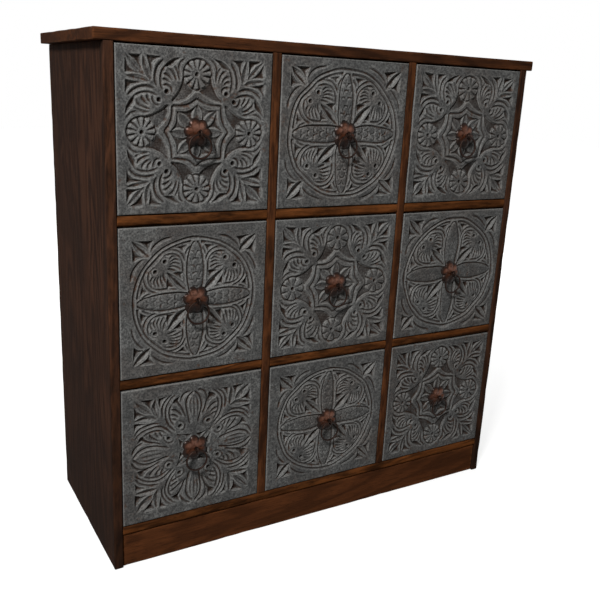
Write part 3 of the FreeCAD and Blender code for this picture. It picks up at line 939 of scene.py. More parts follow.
def rosette(place, number, centre):
    """Iron flower on the face, grimy and with painted shade in its creases, painted shade on its lower half,
    and a painted highlight on its upper petals.
    """
    turn = math.radians(FLOWER_TURNS[place] + 180 / PETALS)
    reach, rise = flower(FLOWER_SEED + number)
    shape = relief_cap(centre, reach, rise, PIN_WIDTH / 2, turn)
    points, faces, values = hammered(shape, DENT_SEED + 13 * number)
    points[:, 1] = np.minimum(points[:, 1], centre[1])
    height = (centre[1] - points[:, 1]) / PETAL_RISE
    above = (points[:, 2] - centre[2]) / (PETAL_CIRCLE / 2)
    # sunk: grimy and painted shade low on the flower, and painted shade over its lower half
    values["sunk"] = np.clip(1 - height / PETAL_GRIME_AND_SHADE, 0, 1) + LOWER_HALF_SHADE * np.clip(-above, 0, 1)
    # worn here is a painted highlight on the upper petals, which are also made smoother
    values["worn"] = np.interp(height, PETAL_HIGHLIGHT_AND_RUB, (0, 1)) * np.clip(1.5 * above, 0, 1)
    made = add_object(place + "_iron_flower", (points, faces, values), IRON)
    fit(made, place + "_drawer", place + "_pull")


def split_pin(place, number, centre):
    """Eye in front, stem through the flower and the board, two legs bent over behind it."""
    pull_low, pull_high = cad_box(place + "_pull")
    radius = (EYE_HOLE + EYE_WIRE) / 2
    eye = (centre[0], pull_low[1] + EYE_WIRE / 2 + radius, centre[2])
    shapes = [wire_ring(eye, radius, EYE_WIRE, X, around=32, section=14)]
    start, end = eye[1] + radius, pull_high[1]
    half, worn_half = PIN_WIDTH / 2, PIN_WIDTH / 2 - LEG_ROUNDING
    stem = [(worn_half, start), (half, start + LEG_ROUNDING), (half, end - LEG_ROUNDING), (worn_half, end)]
    shapes.append(turned(stem, 20, (centre[0], 0, centre[2]), Y))
    for hand in (-1, 1):
        near, far = centre[2] + hand * half * 0.6, centre[2] + hand * LEG_LENGTH
        low = (centre[0] - half, end - LEG_THICKNESS, min(near, far))
        high = (centre[0] + half, end, max(near, far))
        points, faces, _ = board(
            low, high, Z, LEG_SEED + number, rounding=LEG_ROUNDING, step=LEG_STEP, wave=LEG_WAVE)
        shapes.append((points, faces, {}))
    made = add_object(place + "_split_pin", join(shapes), DARK_IRON)
    fit(made, place + "_drawer", place + "_pull")


def hanging_ring(place, number):
    """Ring of uneven wire that hangs in the eye of the split pin."""
    low, high = cad_box(place + "_ring")
    around = 72
    angle = np.arange(around) * 2 * math.pi / around
    circle = np.stack([np.cos(angle), np.sin(angle)], 1) * 10
    wire = RING_WIRE - RING_UNEVEN * np.clip(0.5 + 0.5 * wander(circle, 6.0, RING_SEED + number), 0, 1)
    shape = wire_ring((low + high) / 2, (high[0] - low[0] - RING_WIRE) / 2, wire, Y, around, 16)
    made = add_object(place + "_hanging_ring", shape, DARK_IRON)
    fit(made, place + "_ring_body", place + "_ring")


# Drawer boxes

def drawer_box(place, number):
    """Two sides let into the front, and a back that stands on the bottom."""
    low, high = cad_box(place + "_drawer_box")
    panel_top = cad_box(place + "_drawer_bottom")[1][2]
    seed = BOX_SEED + 10 * number
    shapes = [
        board(low, (low[0] + DRAWER_BOARD, high[1], high[2]), Y, seed),
        board((high[0] - DRAWER_BOARD, low[1], low[2]), high, Y, seed + 1),
        board((low[0] + DRAWER_BOARD, high[1] - DRAWER_BOARD, panel_top),
              (high[0] - DRAWER_BOARD, high[1], high[2]), X, seed + 2),
    ]
    made = add_object(place + "_drawer_sides", join(shapes), RAW)
    fit(made, place + "_drawer", place + "_drawer_box")


def drawer_bottom(place, number):
    """Thin panel between the sides, from the front to the rear end of the box."""
    low, high = cad_box(place + "_drawer_bottom")
    box_low, box_high = cad_box(place + "_drawer_box")
    front = cad_box(place + "_drawer_front")[1][1]
    inset = DRAWER_BOARD + PANEL_GAP
    corner = (box_low[0] + inset, front + PANEL_GAP, low[2])
    opposite = (box_high[0] - inset, high[1], high[2] - PANEL_GAP)
    shape = board(corner, opposite, X, BOTTOM_SEED + number, rounding=PANEL_ROUNDING)
    made = add_object(place + "_bottom_panel", shape, PANEL)
    fit(made, place + "_drawer", place + "_drawer_bottom")


# Case

def case_boards():
    """Top, dividers, bottom and plinth. The bottom board stops between the sides."""
    plinth_low, plinth_high = cad_box("plinth_board")
    boards = [
        ("top_board", X, 11, STAINED, CASE_ROUNDING),
        ("left_divider", Z, 14, STAINED, CASE_ROUNDING),
        ("right_divider", Z, 15, STAINED, CASE_ROUNDING),
        ("bottom_board", X, 16, LIT_RAIL, RAIL_ROUNDING),
        ("plinth_board", X, 17, PLINTH, CASE_ROUNDING),
    ]
    for name, grain, seed, wood, arris in boards:
        low, high = cad_box(name)
        if name == "bottom_board":
            low[0], high[0] = plinth_low[0], plinth_high[0]
        made = add_object(name + "_wood", board(low, high, grain, seed, arris=arris), wood)
        fit(made, "case", name)


def side_board(name, hand, seed):
    """Side board with a rebate along its rear edge for the back boards."""
    low, high = cad_box(name)
    back_low, back_high = cad_box("back_boards")
    rebate = back_high[0] if hand > 0 else back_low[0]
    outer, inner = (high[0], low[0]) if hand > 0 else (low[0], high[0])
    corners = [(outer, low[1]), (outer, high[1]), (rebate, high[1]), (rebate, back_low[1]),
               (inner, back_low[1]), (inner, low[1])]
    if hand < 0:
        corners = corners[::-1]
    shape = swept_board(corners, (low[2], high[2]), Z, Z, seed, arris=CASE_ROUNDING)
    made = add_object(name + "_wood", shape, SHADED_SIDE)
    fit(made, "case", name)


def back_panel():
    """Upright boards that close the back."""
    shapes = []
    for seed, (low, high) in enumerate(solids("back_boards"), 31):
        shapes.append(board(low, high, Z, seed, rounding=BACK_ROUNDING, step=BACK_STEP))
    made = add_object("back_boards_wood", join(shapes), PANEL)
    fit(made, "case", "back_boards")


# Pieces that repeat, set out by nodes on a cloud of points

def repeat_tree():
    """Sets a template on every point, turned by the point's own value, each with its own shift of grain."""
    tree = bpy.data.node_groups.new("repeat_on_points", "GeometryNodeTree")
    for name, kind in (("Points", "Geometry"), ("Template", "Object"), ("Size change", "Float"),
                       ("Grain shift", "Float"), ("Seed", "Int"), ("Material", "Material")):
        tree.interface.new_socket(name=name, in_out="INPUT", socket_type="NodeSocket" + kind)
    tree.interface.new_socket(name="Copies", in_out="OUTPUT", socket_type="NodeSocketGeometry")
    given = tree.nodes.new("NodeGroupInput").outputs
    out = tree.nodes.new("NodeGroupOutput")
    template = node(tree, "GeometryNodeObjectInfo", {"Object": given["Template"]}, transform_space="ORIGINAL")
    turn = node(tree, "GeometryNodeInputNamedAttribute", {"Name": "turn"}, data_type="FLOAT_VECTOR")
    least = node(tree, "ShaderNodeMath", {0: 1.0, 1: given["Size change"]}, operation="SUBTRACT")
    size = node(tree, "FunctionNodeRandomValue", {2: least.outputs[0], 3: 1.0, "Seed": given["Seed"]},
                data_type="FLOAT")
    placed = node(tree, "GeometryNodeInstanceOnPoints", {
        "Points": given["Points"], "Instance": template.outputs["Geometry"], "Rotation": turn.outputs[0],
        "Scale": size.outputs[1],
    })
    shift = node(tree, "FunctionNodeRandomValue", {"Seed": given["Seed"]}, data_type="FLOAT_VECTOR")
    spread = node(tree, "ShaderNodeVectorMath", {0: shift.outputs[0], "Scale": given["Grain shift"]},
                  operation="SCALE")
    stored = node(tree, "GeometryNodeStoreNamedAttribute", {
        "Geometry": placed.outputs["Instances"], "Name": "copy_shift", "Value": spread.outputs[0],
    }, data_type="FLOAT_VECTOR", domain="INSTANCE")
    real = node(tree, "GeometryNodeRealizeInstances", {"Geometry": stored.outputs["Geometry"]})
    dressed = node(tree, "GeometryNodeSetMaterial", {
        "Geometry": real.outputs["Geometry"], "Material": given["Material"],
    })
    tree.links.new(dressed.outputs["Geometry"], out.inputs["Copies"])
    return tree


def repeated(name, template, places, material, turns=None, size_change=0.0, grain_shift=0.0, seed=1):
    """Plain mesh object with a copy of a shape about the origin at every place, in millimetres."""
    pattern = add_object(name + "_template", template, material)
    cloud = bpy.data.meshes.new(name + "_points")
    cloud.from_pydata([list(np.asarray(place) * MM) for place in places], [], [])
    store(cloud, "turn", np.zeros((len(places), 3)) if turns is None else turns)
    holder = bpy.data.objects.new(name + "_points", cloud)
    bpy.context.scene.collection.objects.link(holder)
    modifier = holder.modifiers.new("copies", "NODES")
    modifier.node_group = REPEAT
    values = {"Template": pattern, "Size change": size_change, "Grain shift": grain_shift, "Seed": seed,
              "Material": material}
    for item in REPEAT.interface.items_tree:
        if item.name in values:
            modifier[item.identifier] = values[item.name]
    bpy.context.view_layer.update()
    depsgraph = bpy.context.evaluated_depsgraph_get()
    mesh = bpy.data.meshes.new_from_object(
        holder.evaluated_get(depsgraph), preserve_all_data_layers=True, depsgraph=depsgraph)
    mesh.name = name
    bpy.data.objects.remove(holder)
    bpy.data.objects.remove(pattern)
    made = bpy.data.objects.new(name, mesh)
    bpy.context.scene.collection.objects.link(made)
    return made


def middles(boxes):
    """Middle of each box."""
    return [(low + high) / 2 for low, high in boxes]


def repeated_boards(name, node_name, grain, material, slot, seed, **settings):
    """Alike boards of one CAD node."""
    boxes = solids(node_name)
    half = (boxes[0][1] - boxes[0][0]) / 2
    shape = board(-half, half, grain, seed, **settings)
    made = repeated(name, shape, middles(boxes), material, grain_shift=COPY_SHIFT, seed=seed)
    fit(made, "case", node_name)


def nail_shape(length):
    """Nail with a low round head, driven along -Y from the origin."""
    half, rise, shank = NAIL_HEAD / 2, NAIL_HEAD_RISE, NAIL_SHANK / 2
    profile = [(0.4, -length), (shank, -length + NAIL_POINT), (shank, 0), (half, 0), (half, 0.5 * rise),
               (0.85 * half, 0.85 * rise), (0.4 * half, rise)]
    return turned(profile, 16, (0, 0, 0), Y)


def screw_shape(length):
    """Slotted round-head screw, driven along +X from the origin."""
    half, rise, shank = SCREW_HEAD / 2, SCREW_HEAD_RISE, SCREW_SHANK / 2
    profile = [(0.06 * half, -rise), (0.55 * half, -0.96 * rise), (0.85 * half, -0.8 * rise),
               (half, -0.4 * rise), (half, 0), (shank, 0), (shank, length - SCREW_POINT), (0.3, length)]
    points, faces, values = turned(profile, 16, (0, 0, 0), X)
    in_slot = (np.abs(points[:, 1]) < 0.1) & (points[:, 0] < -0.5 * rise)
    points[in_slot, 0] += SLOT_DEPTH
    return points, faces, values


def back_nails():
    """Nails that hold the back boards, their heads on the boards' rear faces."""
    boxes = solids("back_nails")
    face = boxes[0][1][1] - NAIL_HEAD_RISE
    length = face - boxes[0][0][1]
    places = [(middle[0], face, middle[2]) for middle in middles(boxes)]
    made = repeated("back_nail_heads", nail_shape(length), places, STEEL, size_change=0.08, seed=5)
    fit(made, "case", "back_nails")


def runner_screws():
    """Screws through the runners into the nearest upright board on either side."""
    boxes = solids("runner_screws")
    length = boxes[0][1][0] - boxes[0][0][0] - SCREW_HEAD_RISE
    columns = [np.mean(cad_box("top_" + column + "_drawer_front"), axis=0)[0] for column in COLUMNS]
    places, turns = [], []
    for low, high in boxes:
        middle = (low + high) / 2
        nearest = min(columns, key=lambda x: abs(x - middle[0]))
        to_right = middle[0] > nearest
        face = low[0] + SCREW_HEAD_RISE if to_right else high[0] - SCREW_HEAD_RISE
        places.append((face, middle[1], middle[2]))
        turns.append((0, 0, 0 if to_right else math.pi))
    made = repeated("runner_screw_heads", screw_shape(length), places, STEEL, turns=turns, seed=6)
    fit(made, "case", "runner_screws")


# Node tools. Noise scales are counts per metre, and shares run from 0 to 1.

def feed(tree, sockets, values):
    """Sets each named socket to its value, or links it where the value is a socket."""
    for key, value in values.items():
        if isinstance(value, bpy.types.NodeSocket):
            tree.links.new(value, sockets[key])
        else:
            sockets[key].default_value = value


def node(tree, kind, inputs=None, **settings):
    """A node with its settings, and its inputs set to values or linked to sockets."""
    made = tree.nodes.new(kind)
    for key, value in settings.items():
        setattr(made, key, value)
    feed(tree, made.inputs, inputs or {})
    return made


def sums(tree, operation, first, second=0.5, third=0.5, clamp=False):
    """One step of arithmetic on two or three values."""
    inputs = {0: first, 1: second, 2: third}
    return node(tree, "ShaderNodeMath", inputs, operation=operation, use_clamp=clamp).outputs[0]


def times(tree, first, second):
    return sums(tree, "MULTIPLY", first, second)


def between(tree, value, low, high, to_low=0.0, to_high=1.0):
    """Value mapped smoothly from one range to another and held at its ends."""
    return node(tree, "ShaderNodeMapRange", {
        "Value": value, "From Min": low, "From Max": high, "To Min": to_low, "To Max": to_high,
    }, interpolation_type="SMOOTHSTEP").outputs[0]


def mixed(tree, share, first, second):
    """The first colour, giving way to the second by a share."""
    return node(tree, "ShaderNodeMix", {0: share, 6: first, 7: second}, data_type="RGBA").outputs[2]


def noise(tree, place, scale, detail=4.0, roughness=0.55, distortion=0.0):
    """Soft random value over a place."""
    return node(tree, "ShaderNodeTexNoise", {
        "Vector": place, "Scale": scale, "Detail": detail, "Roughness": roughness, "Distortion": distortion,
    }).outputs[0]


def vector(tree, operation, first, second):
    return node(tree, "ShaderNodeVectorMath", {0: first, 1: second}, operation=operation).outputs[0]


def drawn_out(tree, place, along):
    """Place with its third axis, along the grain, made shorter, so that a noise there is drawn out."""
    return vector(tree, "MULTIPLY", place, (1, 1, along))


def attribute(tree, name, output="Fac"):
    """What the mesh keeps under a name: one number, or three by the output called Vector."""
    return node(tree, "ShaderNodeAttribute", attribute_name=name).outputs[output]


def colour(red, green, blue):
    """Colour as it looks on a screen, 0 to 255, for a node socket."""
    def linear(c):
        c /= 255
        return c / 12.92 if c <= 0.04045 else ((c + 0.055) / 1.055) ** 2.4
    return (linear(red), linear(green), linear(blue), 1.0)


def new_group(name, inputs, outputs):
    """Shader node group with named sockets; returns the tree, what it is given and what it puts out."""
    tree = bpy.data.node_groups.new(name, "ShaderNodeTree")
    for key, kind in inputs.items():
        tree.interface.new_socket(name=key, in_out="INPUT", socket_type="NodeSocket" + kind)
    for key, kind in outputs.items():
        tree.interface.new_socket(name=key, in_out="OUTPUT", socket_type="NodeSocket" + kind)
    return tree, tree.nodes.new("NodeGroupInput").outputs, tree.nodes.new("NodeGroupOutput").inputs


def wood_group():
    """Grain of planks glued edge to edge: fibres, broad streaks, pores, each plank's tone, and the seams."""
    results = ("Fibre", "Streak", "Pore", "Tone", "Seam", "Height")
    tree, given, out = new_group(
        "wood_grain", {"Place": "Vector", "Plank width": "Float"}, {key: "Float" for key in results})
    across = node(tree, "ShaderNodeSeparateXYZ", {0: given["Place"]}).outputs[0]
    planks = sums(tree, "ADD", sums(tree, "DIVIDE", across, given["Plank width"]), 0.5)
    number = sums(tree, "FLOOR", planks)
    shift = node(tree, "ShaderNodeCombineXYZ", {
        0: 0.0, 1: times(tree, number, 3.71), 2: times(tree, number, 5.13)}).outputs[0]
    place = vector(tree, "ADD", given["Place"], shift)
    off_seam = sums(tree, "ABSOLUTE", sums(tree, "SUBTRACT", sums(tree, "FRACT", planks), 0.5))
    seam = between(tree, off_seam, 0.494, 0.499)
    whole = vector(tree, "FLOOR", shift, (0, 0, 0))
    tone = node(tree, "ShaderNodeTexWhiteNoise", {"Vector": whole}).outputs[0]
    fibre = noise(tree, drawn_out(tree, place, 0.035), 420, 5, 0.65)
    streak = noise(tree, drawn_out(tree, place, 0.05), 46, 4, 0.6, 0.8)
    figure = noise(tree, drawn_out(tree, place, 0.12), 9, 3, 0.5, 1.0)
    rings = sums(tree, "MULTIPLY_ADD", sums(tree, "SINE", times(tree, figure, 60.0)), 0.5, 0.5)
    broad = sums(tree, "ADD", times(tree, streak, 0.65), times(tree, rings, 0.35))
    pore = between(tree, noise(tree, drawn_out(tree, place, 0.06), 900, 2, 0.5), 0.60, 0.68)
    height = sums(tree, "SUBTRACT", times(tree, fibre, 0.6), times(tree, pore, 0.5))
    height = sums(tree, "SUBTRACT", height, seam)
    feed(tree, out, dict(zip(results, (fibre, broad, pore, tone, seam, height))))
    return tree


def new_material(name):
    """Material with a surface shader wired to its output; returns the material, its tree and the shader."""
    material = bpy.data.materials.new(name)
    material.use_nodes = True
    tree = material.node_tree
    tree.nodes.clear()
    shader = tree.nodes.new("ShaderNodeBsdfPrincipled")
    output = tree.nodes.new("ShaderNodeOutputMaterial")
    tree.links.new(shader.outputs[0], output.inputs["Surface"])
    return material, tree, shader


def bumped(tree, shader, height, distance, strength):
    """Gives the shader a fine relief, its distance in metres."""
    made = node(tree, "ShaderNodeBump", {"Height": height, "Distance": distance, "Strength": strength})
    feed(tree, shader.inputs, {"Normal": made.outputs[0]})


def board_place(tree):
    """Place in the board that the mesh keeps, shifted for each copy of a repeated board."""
    kept, shift = (attribute(tree, key, "Vector") for key in ("grain_place", "copy_shift"))
    return vector(tree, "ADD", kept, shift)


def object_place(tree):
    return tree.nodes.new("ShaderNodeTexCoord").outputs["Object"]


def wood_grain(tree, place, plank):
    """The shared grain, for planks of a width in metres."""
    made = node(tree, "ShaderNodeGroup", node_tree=WOOD)
    feed(tree, made.inputs, {"Place": place, "Plank width": plank})
    return made.outputs


def grained(tree, place, wood, dark, light, streak):
    """Wood between two colours, with darker fibres, blotches, pores and seams."""
    base = mixed(tree, between(tree, wood["Streak"], 0.2, 0.85), dark, light)
    base = mixed(tree, between(tree, wood["Fibre"], 0.42, 0.7, 0.0, 0.55), base, streak)
    base = mixed(tree, times(tree, wood["Tone"], 0.35), base, dark)
    blotch = between(tree, noise(tree, place, 7.0, 3, 0.6), 0.38, 0.68, 0.0, 0.6)
    base = mixed(tree, blotch, base, dark)
    pores, seams = times(tree, wood["Pore"], 0.6), times(tree, wood["Seam"], 0.8)
    return mixed(tree, sums(tree, "MAXIMUM", pores, seams), base, streak)


def wood_material(name, dark, light, streak, rubbed_colour, rubbed_share, rough, plank,
                  find_place=board_place, floor_darkening=0.0):
    """Planed wood with rubbed edges, and darker towards the floor by the share given in the last argument."""
    material, tree, shader = new_material(name)
    place = find_place(tree)
    wood = wood_grain(tree, place, plank)
    base = grained(tree, place, wood, dark, light, streak)
    patch = between(tree, noise(tree, drawn_out(tree, place, 0.25), 70, 5, 0.7), 0.42, 0.66)
    in_patches = times(tree, attribute(tree, "worn"), patch)
    rubbed = sums(tree, "MULTIPLY", in_patches, rubbed_share, clamp=True)
    base = mixed(tree, rubbed, base, rubbed_colour)
    # darker towards the floor
    if floor_darkening:
        height = node(tree, "ShaderNodeSeparateXYZ", {0: object_place(tree)}).outputs[2]
        base = mixed(tree, between(tree, height, 0.0, DARKER_BELOW_HEIGHT, floor_darkening, 0.0), base, streak)
    sheen = sums(tree, "MULTIPLY_ADD", wood["Fibre"], 0.22, rough - 0.1)
    sheen = sums(tree, "SUBTRACT", sheen, times(tree, rubbed, 0.1))
    feed(tree, shader.inputs, {"Base Color": base, "Roughness": sheen, "Specular IOR Level": WOOD_GLOSS})
    bumped(tree, shader, wood["Height"], 0.0005, 0.6)
    return material


def painted_material():
    """Pitted grey paint rubbed thin over carved brown wood: lighter on ridges, with a painted highlight on
    bevels; brown and dark in the cuts, from soiling and painted shade.
    """
    material, tree, shader = new_material("painted_carving")
    place = board_place(tree)
    wood = wood_grain(tree, place, WHOLE_BOARD)
    sunk, hollow, worn = (attribute(tree, key) for key in ("sunk", "hollow", "worn"))
    cloud = noise(tree, place, 22, 5, 0.65)
    fine = noise(tree, place, 260, 4, 0.7)
    grit = noise(tree, place, 110, 5, 0.75)
    paint = mixed(tree, between(tree, cloud, 0.3, 0.7), colour(80, 80, 79), colour(110, 110, 108))
    warm = between(tree, noise(tree, place, 9, 3, 0.6), 0.42, 0.68, 0.0, 0.6)
    paint = mixed(tree, warm, paint, colour(86, 79, 74))
    paint = mixed(tree, between(tree, grit, 0.42, 0.62, 0.0, 0.6), paint, colour(54, 53, 52))
    paint = mixed(tree, between(tree, fine, 0.42, 0.60, 0.0, 0.75), paint, colour(46, 46, 46))
    # lighter paint where worn: rubbed ridges and edges, and a painted highlight on bevels
    paint = mixed(tree, between(tree, worn, 0.15, 0.9, 0.0, 0.38), paint, colour(142, 141, 138))
    thin = sums(tree, "ADD", noise(tree, place, 60, 6, 0.72), times(tree, hollow, 0.12))
    bare = mixed(tree, wood["Streak"], colour(44, 30, 22), colour(84, 56, 38))
    paint = mixed(tree, between(tree, thin, 0.60, 0.70, 0.0, 0.7), paint, bare)
    speck = between(tree, noise(tree, place, 420, 2, 0.5), 0.58, 0.68)
    paint = mixed(tree, times(tree, speck, 0.5), paint, colour(34, 33, 33))
    # dark in the creases and on the floors of the cuts: soiling and painted shade
    crevice = between(tree, hollow, 0.25, 0.95, 0.0, 0.8)
    low_ground = between(tree, sunk, 0.44, 1.0, 0.0, 0.94)
    dirt_and_shade = sums(tree, "MAXIMUM", crevice, low_ground)
    face = mixed(tree, dirt_and_shade, paint, mixed(tree, cloud, colour(14, 11, 9), colour(46, 33, 25)))
    behind = grained(tree, place, wood, *RAW_COLOURS[:3])
    base = mixed(tree, between(tree, attribute(tree, "painted"), 0.1, 0.4), behind, face)
    rough = sums(tree, "MULTIPLY_ADD", fine, 0.25, 0.42)
    rough = sums(tree, "MULTIPLY_ADD", dirt_and_shade, 0.2, rough)
    feed(tree, shader.inputs, {"Base Color": base, "Roughness": rough, "Specular IOR Level": PAINT_GLOSS})
    pitted = sums(tree, "SUBTRACT", times(tree, fine, 0.5), times(tree, speck, 0.8))
    bumped(tree, shader, sums(tree, "MULTIPLY_ADD", wood["Height"], 0.5, pitted), 0.0005, 0.7)
    return material


def iron_material(name, dark, light, rust_colour, metallic, gloss, smoothest):
    """Hammered iron: rusty in spots; lighter with a painted highlight and smoother where worn is given;
    darker, grimy and with painted shade, where sunk is given.
    """
    material, tree, shader = new_material(name)
    place = object_place(tree)
    cloud = noise(tree, place, 120, 5, 0.65)
    fine = noise(tree, place, 700, 4, 0.7)
    base = mixed(tree, between(tree, cloud, 0.26, 0.58), dark, light)
    base = mixed(tree, between(tree, fine, 0.48, 0.7, 0.0, 0.5), base, dark)
    rust = between(tree, noise(tree, place, 210, 6, 0.75), 0.54, 0.70)
    base = mixed(tree, times(tree, rust, 0.6), base, rust_colour)
    # painted highlight where worn is given, which also makes the metal smoother
    highlight_and_polish = times(tree, attribute(tree, "worn"), between(tree, cloud, 0.36, 0.6, 0.15, 0.6))
    base = mixed(tree, highlight_and_polish, base, colour(134, 98, 84))
    # grimy and painted shade where sunk is given
    shade_and_grime = between(tree, attribute(tree, "sunk"), 0.0, 0.65, 0.0, 0.9)
    base = mixed(tree, shade_and_grime, base, colour(20, 13, 10))
    bright = sums(tree, "MULTIPLY_ADD", rust, -0.25, metallic)
    rough = sums(tree, "MULTIPLY_ADD", fine, 0.25, smoothest)
    rough = sums(tree, "MULTIPLY_ADD", highlight_and_polish, -0.12, rough)
    feed(tree, shader.inputs, {
        "Base Color": base, "Metallic": bright, "Roughness": rough, "Specular IOR Level": gloss,
    })
    dents = node(tree, "ShaderNodeTexVoronoi", {"Vector": place, "Scale": 200.0}, feature="SMOOTH_F1")
    beaten = sums(tree, "MULTIPLY_ADD", dents.outputs["Distance"], 0.5, times(tree, fine, 0.2))
    bumped(tree, shader, beaten, 0.0004, 0.35)
    return material


def steel_material():
    """Dull fastener steel with a little tarnish."""
    material, tree, shader = new_material("dull_steel")
    place = object_place(tree)
    cloud = noise(tree, place, 300, 5, 0.65)
    base = mixed(tree, between(tree, cloud, 0.35, 0.65), colour(150, 146, 140), colour(96, 88, 80))
    rough = sums(tree, "MULTIPLY_ADD", cloud, 0.4, 0.25)
    feed(tree, shader.inputs, {"Base Color": base, "Metallic": 0.9, "Roughness": rough})
    bumped(tree, shader, noise(tree, place, 900, 3), 0.0002, 0.5)
    return material


# Stage

def background_seen(tree):
    """1 on rays that show the background: from the camera, in a reflection or through glass."""
    path = tree.nodes.new("ShaderNodeLightPath").outputs
    mirrored = sums(tree, "MAXIMUM", path["Is Glossy Ray"], path["Is Transmission Ray"])
    return sums(tree, "MAXIMUM", path["Is Camera Ray"], mirrored)


def floor_material():
    """Pale floor that is near white where it is seen, shaded by the chest, and lights the chest little."""
    material, tree, shader = new_material("pale_floor")
    seen = background_seen(tree)
    away = node(tree, "ShaderNodeVectorMath", {0: object_place(tree)}, operation="LENGTH").outputs["Value"]
    glow = between(tree, away, FLOOR_NEAR, FLOOR_FAR, FLOOR_GLOW_NEAR, FLOOR_GLOW_FAR)
    feed(tree, shader.inputs, {
        "Base Color": mixed(tree, seen, colour(92, 92, 91), colour(168, 168, 167)),
        "Roughness": 0.9,
        "Emission Color": WHITE,
        "Emission Strength": times(tree, glow, seen),
    })
    return material


def add_floor():
    """Wide floor a little below the chest, outside the object itself."""
    sides = np.array([(-1, -1), (1, -1), (1, 1), (-1, 1)]) * FLOOR_HALF
    points = np.column_stack([sides, np.full(4, FLOOR_LEVEL)]) / MM
    floor = add_object("floor", (points, [[0, 1, 2, 3]], {}), floor_material())


def add_world():
    """White to the camera and in reflections; a plain even light on the chest."""
    world = bpy.data.worlds.new("studio")
    bpy.context.scene.world = world
    world.use_nodes = True
    tree = world.node_tree
    tree.nodes.clear()
    lit = node(tree, "ShaderNodeBackground", {"Color": WHITE, "Strength": AMBIENT})
    white = node(tree, "ShaderNodeBackground", {"Color": WHITE, "Strength": 1.0})
    mix = node(tree, "ShaderNodeMixShader", {0: background_seen(tree)})
    feed(tree, mix.inputs, {1: lit.outputs[0], 2: white.outputs[0]})
    node(tree, "ShaderNodeOutputWorld", {"Surface": mix.outputs[0]})


def look_at(place, target, roll=0.0):
    """Placement of a camera or lamp that points at a target."""
    place = Vector(place)
    back = (place - Vector(target)).normalized()
    right = Vector((0, 0, 1)).cross(back).normalized()
    axes = Matrix((right, back.cross(right), back)).transposed()
    return Matrix.Translation(place) @ axes.to_4x4() @ Matrix.Rotation(math.radians(roll), 4, "Z")


def add_lamp(name, place, target, size, power):
    """Square lamp that points at a target."""
    lamp = bpy.data.lights.new(name, "AREA")
    lamp.shape = "SQUARE"
    lamp.size = size
    lamp.energy = power
    made = bpy.data.objects.new(name, lamp)
    made.matrix_world = look_at(place, target)
    bpy.context.scene.collection.objects.link(made)


def add_camera():
    """Camera where the photo was taken from."""
    lens = bpy.data.cameras.new("camera")
    lens.lens = CAMERA_LENS
    lens.sensor_width = CAMERA_SENSOR
    camera = bpy.data.objects.new("camera", lens)
    camera.matrix_world = look_at(CAMERA_PLACE, CAMERA_TARGET, CAMERA_ROLL)
    bpy.context.scene.collection.objects.link(camera)
    bpy.context.scene.camera = camera


# The chest itself

REPEAT = repeat_tree()
WOOD = wood_group()
STAINED = wood_material(
    "stained_wood", colour(44, 27, 18), colour(78, 46, 27), colour(28, 17, 12), colour(110, 66, 38),
    rubbed_share=0.35, rough=0.6, plank=CASE_PLANK)
# darker copy of the case wood for the sides: painted shade
SHADED_SIDE = wood_material(
    "shaded_side_wood", colour(35, 24, 19), colour(69, 45, 33), colour(25, 17, 13), colour(92, 57, 36),
    rubbed_share=0.3, rough=0.62, plank=CASE_PLANK, floor_darkening=0.5)
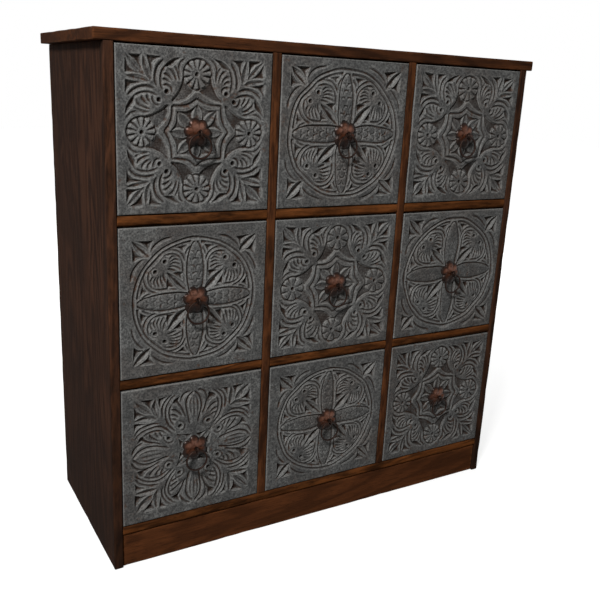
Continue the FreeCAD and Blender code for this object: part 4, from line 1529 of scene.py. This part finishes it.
# lighter, warmer copy of the case wood for the rails and the bottom board: painted light from above
LIT_RAIL = wood_material(
    "lit_rail_wood", colour(40, 23, 12), colour(106, 61, 30), colour(28, 16, 9), colour(128, 77, 40),
    rubbed_share=0.3, rough=0.52, plank=CASE_PLANK)
PLINTH = wood_material(
    "plinth_wood", colour(62, 36, 21), colour(98, 57, 32), colour(40, 23, 14), colour(128, 77, 43),
    rubbed_share=0.5, rough=0.55, plank=CASE_PLANK)
RAW_COLOURS = [colour(140, 104, 70), colour(178, 140, 98), colour(104, 74, 48), colour(196, 164, 124)]
RAW = wood_material("drawer_wood", *RAW_COLOURS, rubbed_share=0.5, rough=0.68, plank=WHOLE_BOARD)
PEG = wood_material(
    "peg_wood", *RAW_COLOURS, rubbed_share=0.5, rough=0.68, plank=WHOLE_BOARD, find_place=object_place)
PANEL = wood_material(
    "panel_wood", colour(122, 90, 60), colour(158, 120, 84), colour(92, 64, 42), colour(180, 146, 106),
    rubbed_share=0.5, rough=0.7, plank=PANEL_PLANK)
PAINTED = painted_material()
IRON = iron_material(
    "hammered_iron", colour(30, 16, 9), colour(66, 35, 20), colour(78, 38, 17),
    metallic=0.35, gloss=FLOWER_GLOSS, smoothest=0.18)
DARK_IRON = iron_material(
    "blackened_iron", colour(18, 13, 11), colour(40, 28, 23), colour(48, 29, 20),
    metallic=0.7, gloss=IRON_GLOSS, smoothest=0.34)
STEEL = steel_material()

case_boards()
side_board("left_side", -1, 21)
side_board("right_side", 1, 24)
back_panel()
back_nails()
runner_screws()
repeated_boards("front_rails_wood", "front_rails", X, LIT_RAIL, "stained_wood", 41, arris=RAIL_ROUNDING)
repeated_boards("drawer_runners_wood", "drawer_runners", Y, RAW, "drawer_wood", 42)
repeated_boards("drawer_stops_wood", "drawer_stops", X, RAW, "drawer_wood", 43)
repeated_boards("plinth_blocks_wood", "plinth_blocks", X, RAW, "drawer_wood", 44)
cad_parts["rail_dowels"].data.materials.clear()
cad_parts["rail_dowels"].data.materials.append(PEG)

for number, place in enumerate(PLACES):
    low, high = cad_box(place + "_drawer_front")
    face_middle = ((low[0] + high[0]) / 2, low[1], (low[2] + high[2]) / 2)
    carved_front(place, number)
    rosette(place, number, face_middle)
    split_pin(place, number, face_middle)
    hanging_ring(place, number)
    drawer_box(place, number)
    drawer_bottom(place, number)

add_floor()
add_world()
add_lamp("key", KEY_PLACE, KEY_TARGET, KEY_SIZE, KEY_POWER)
add_lamp("rear", REAR_PLACE, REAR_TARGET, REAR_SIZE, REAR_POWER)
add_camera()
bpy.context.scene.view_settings.view_transform = "Standard"
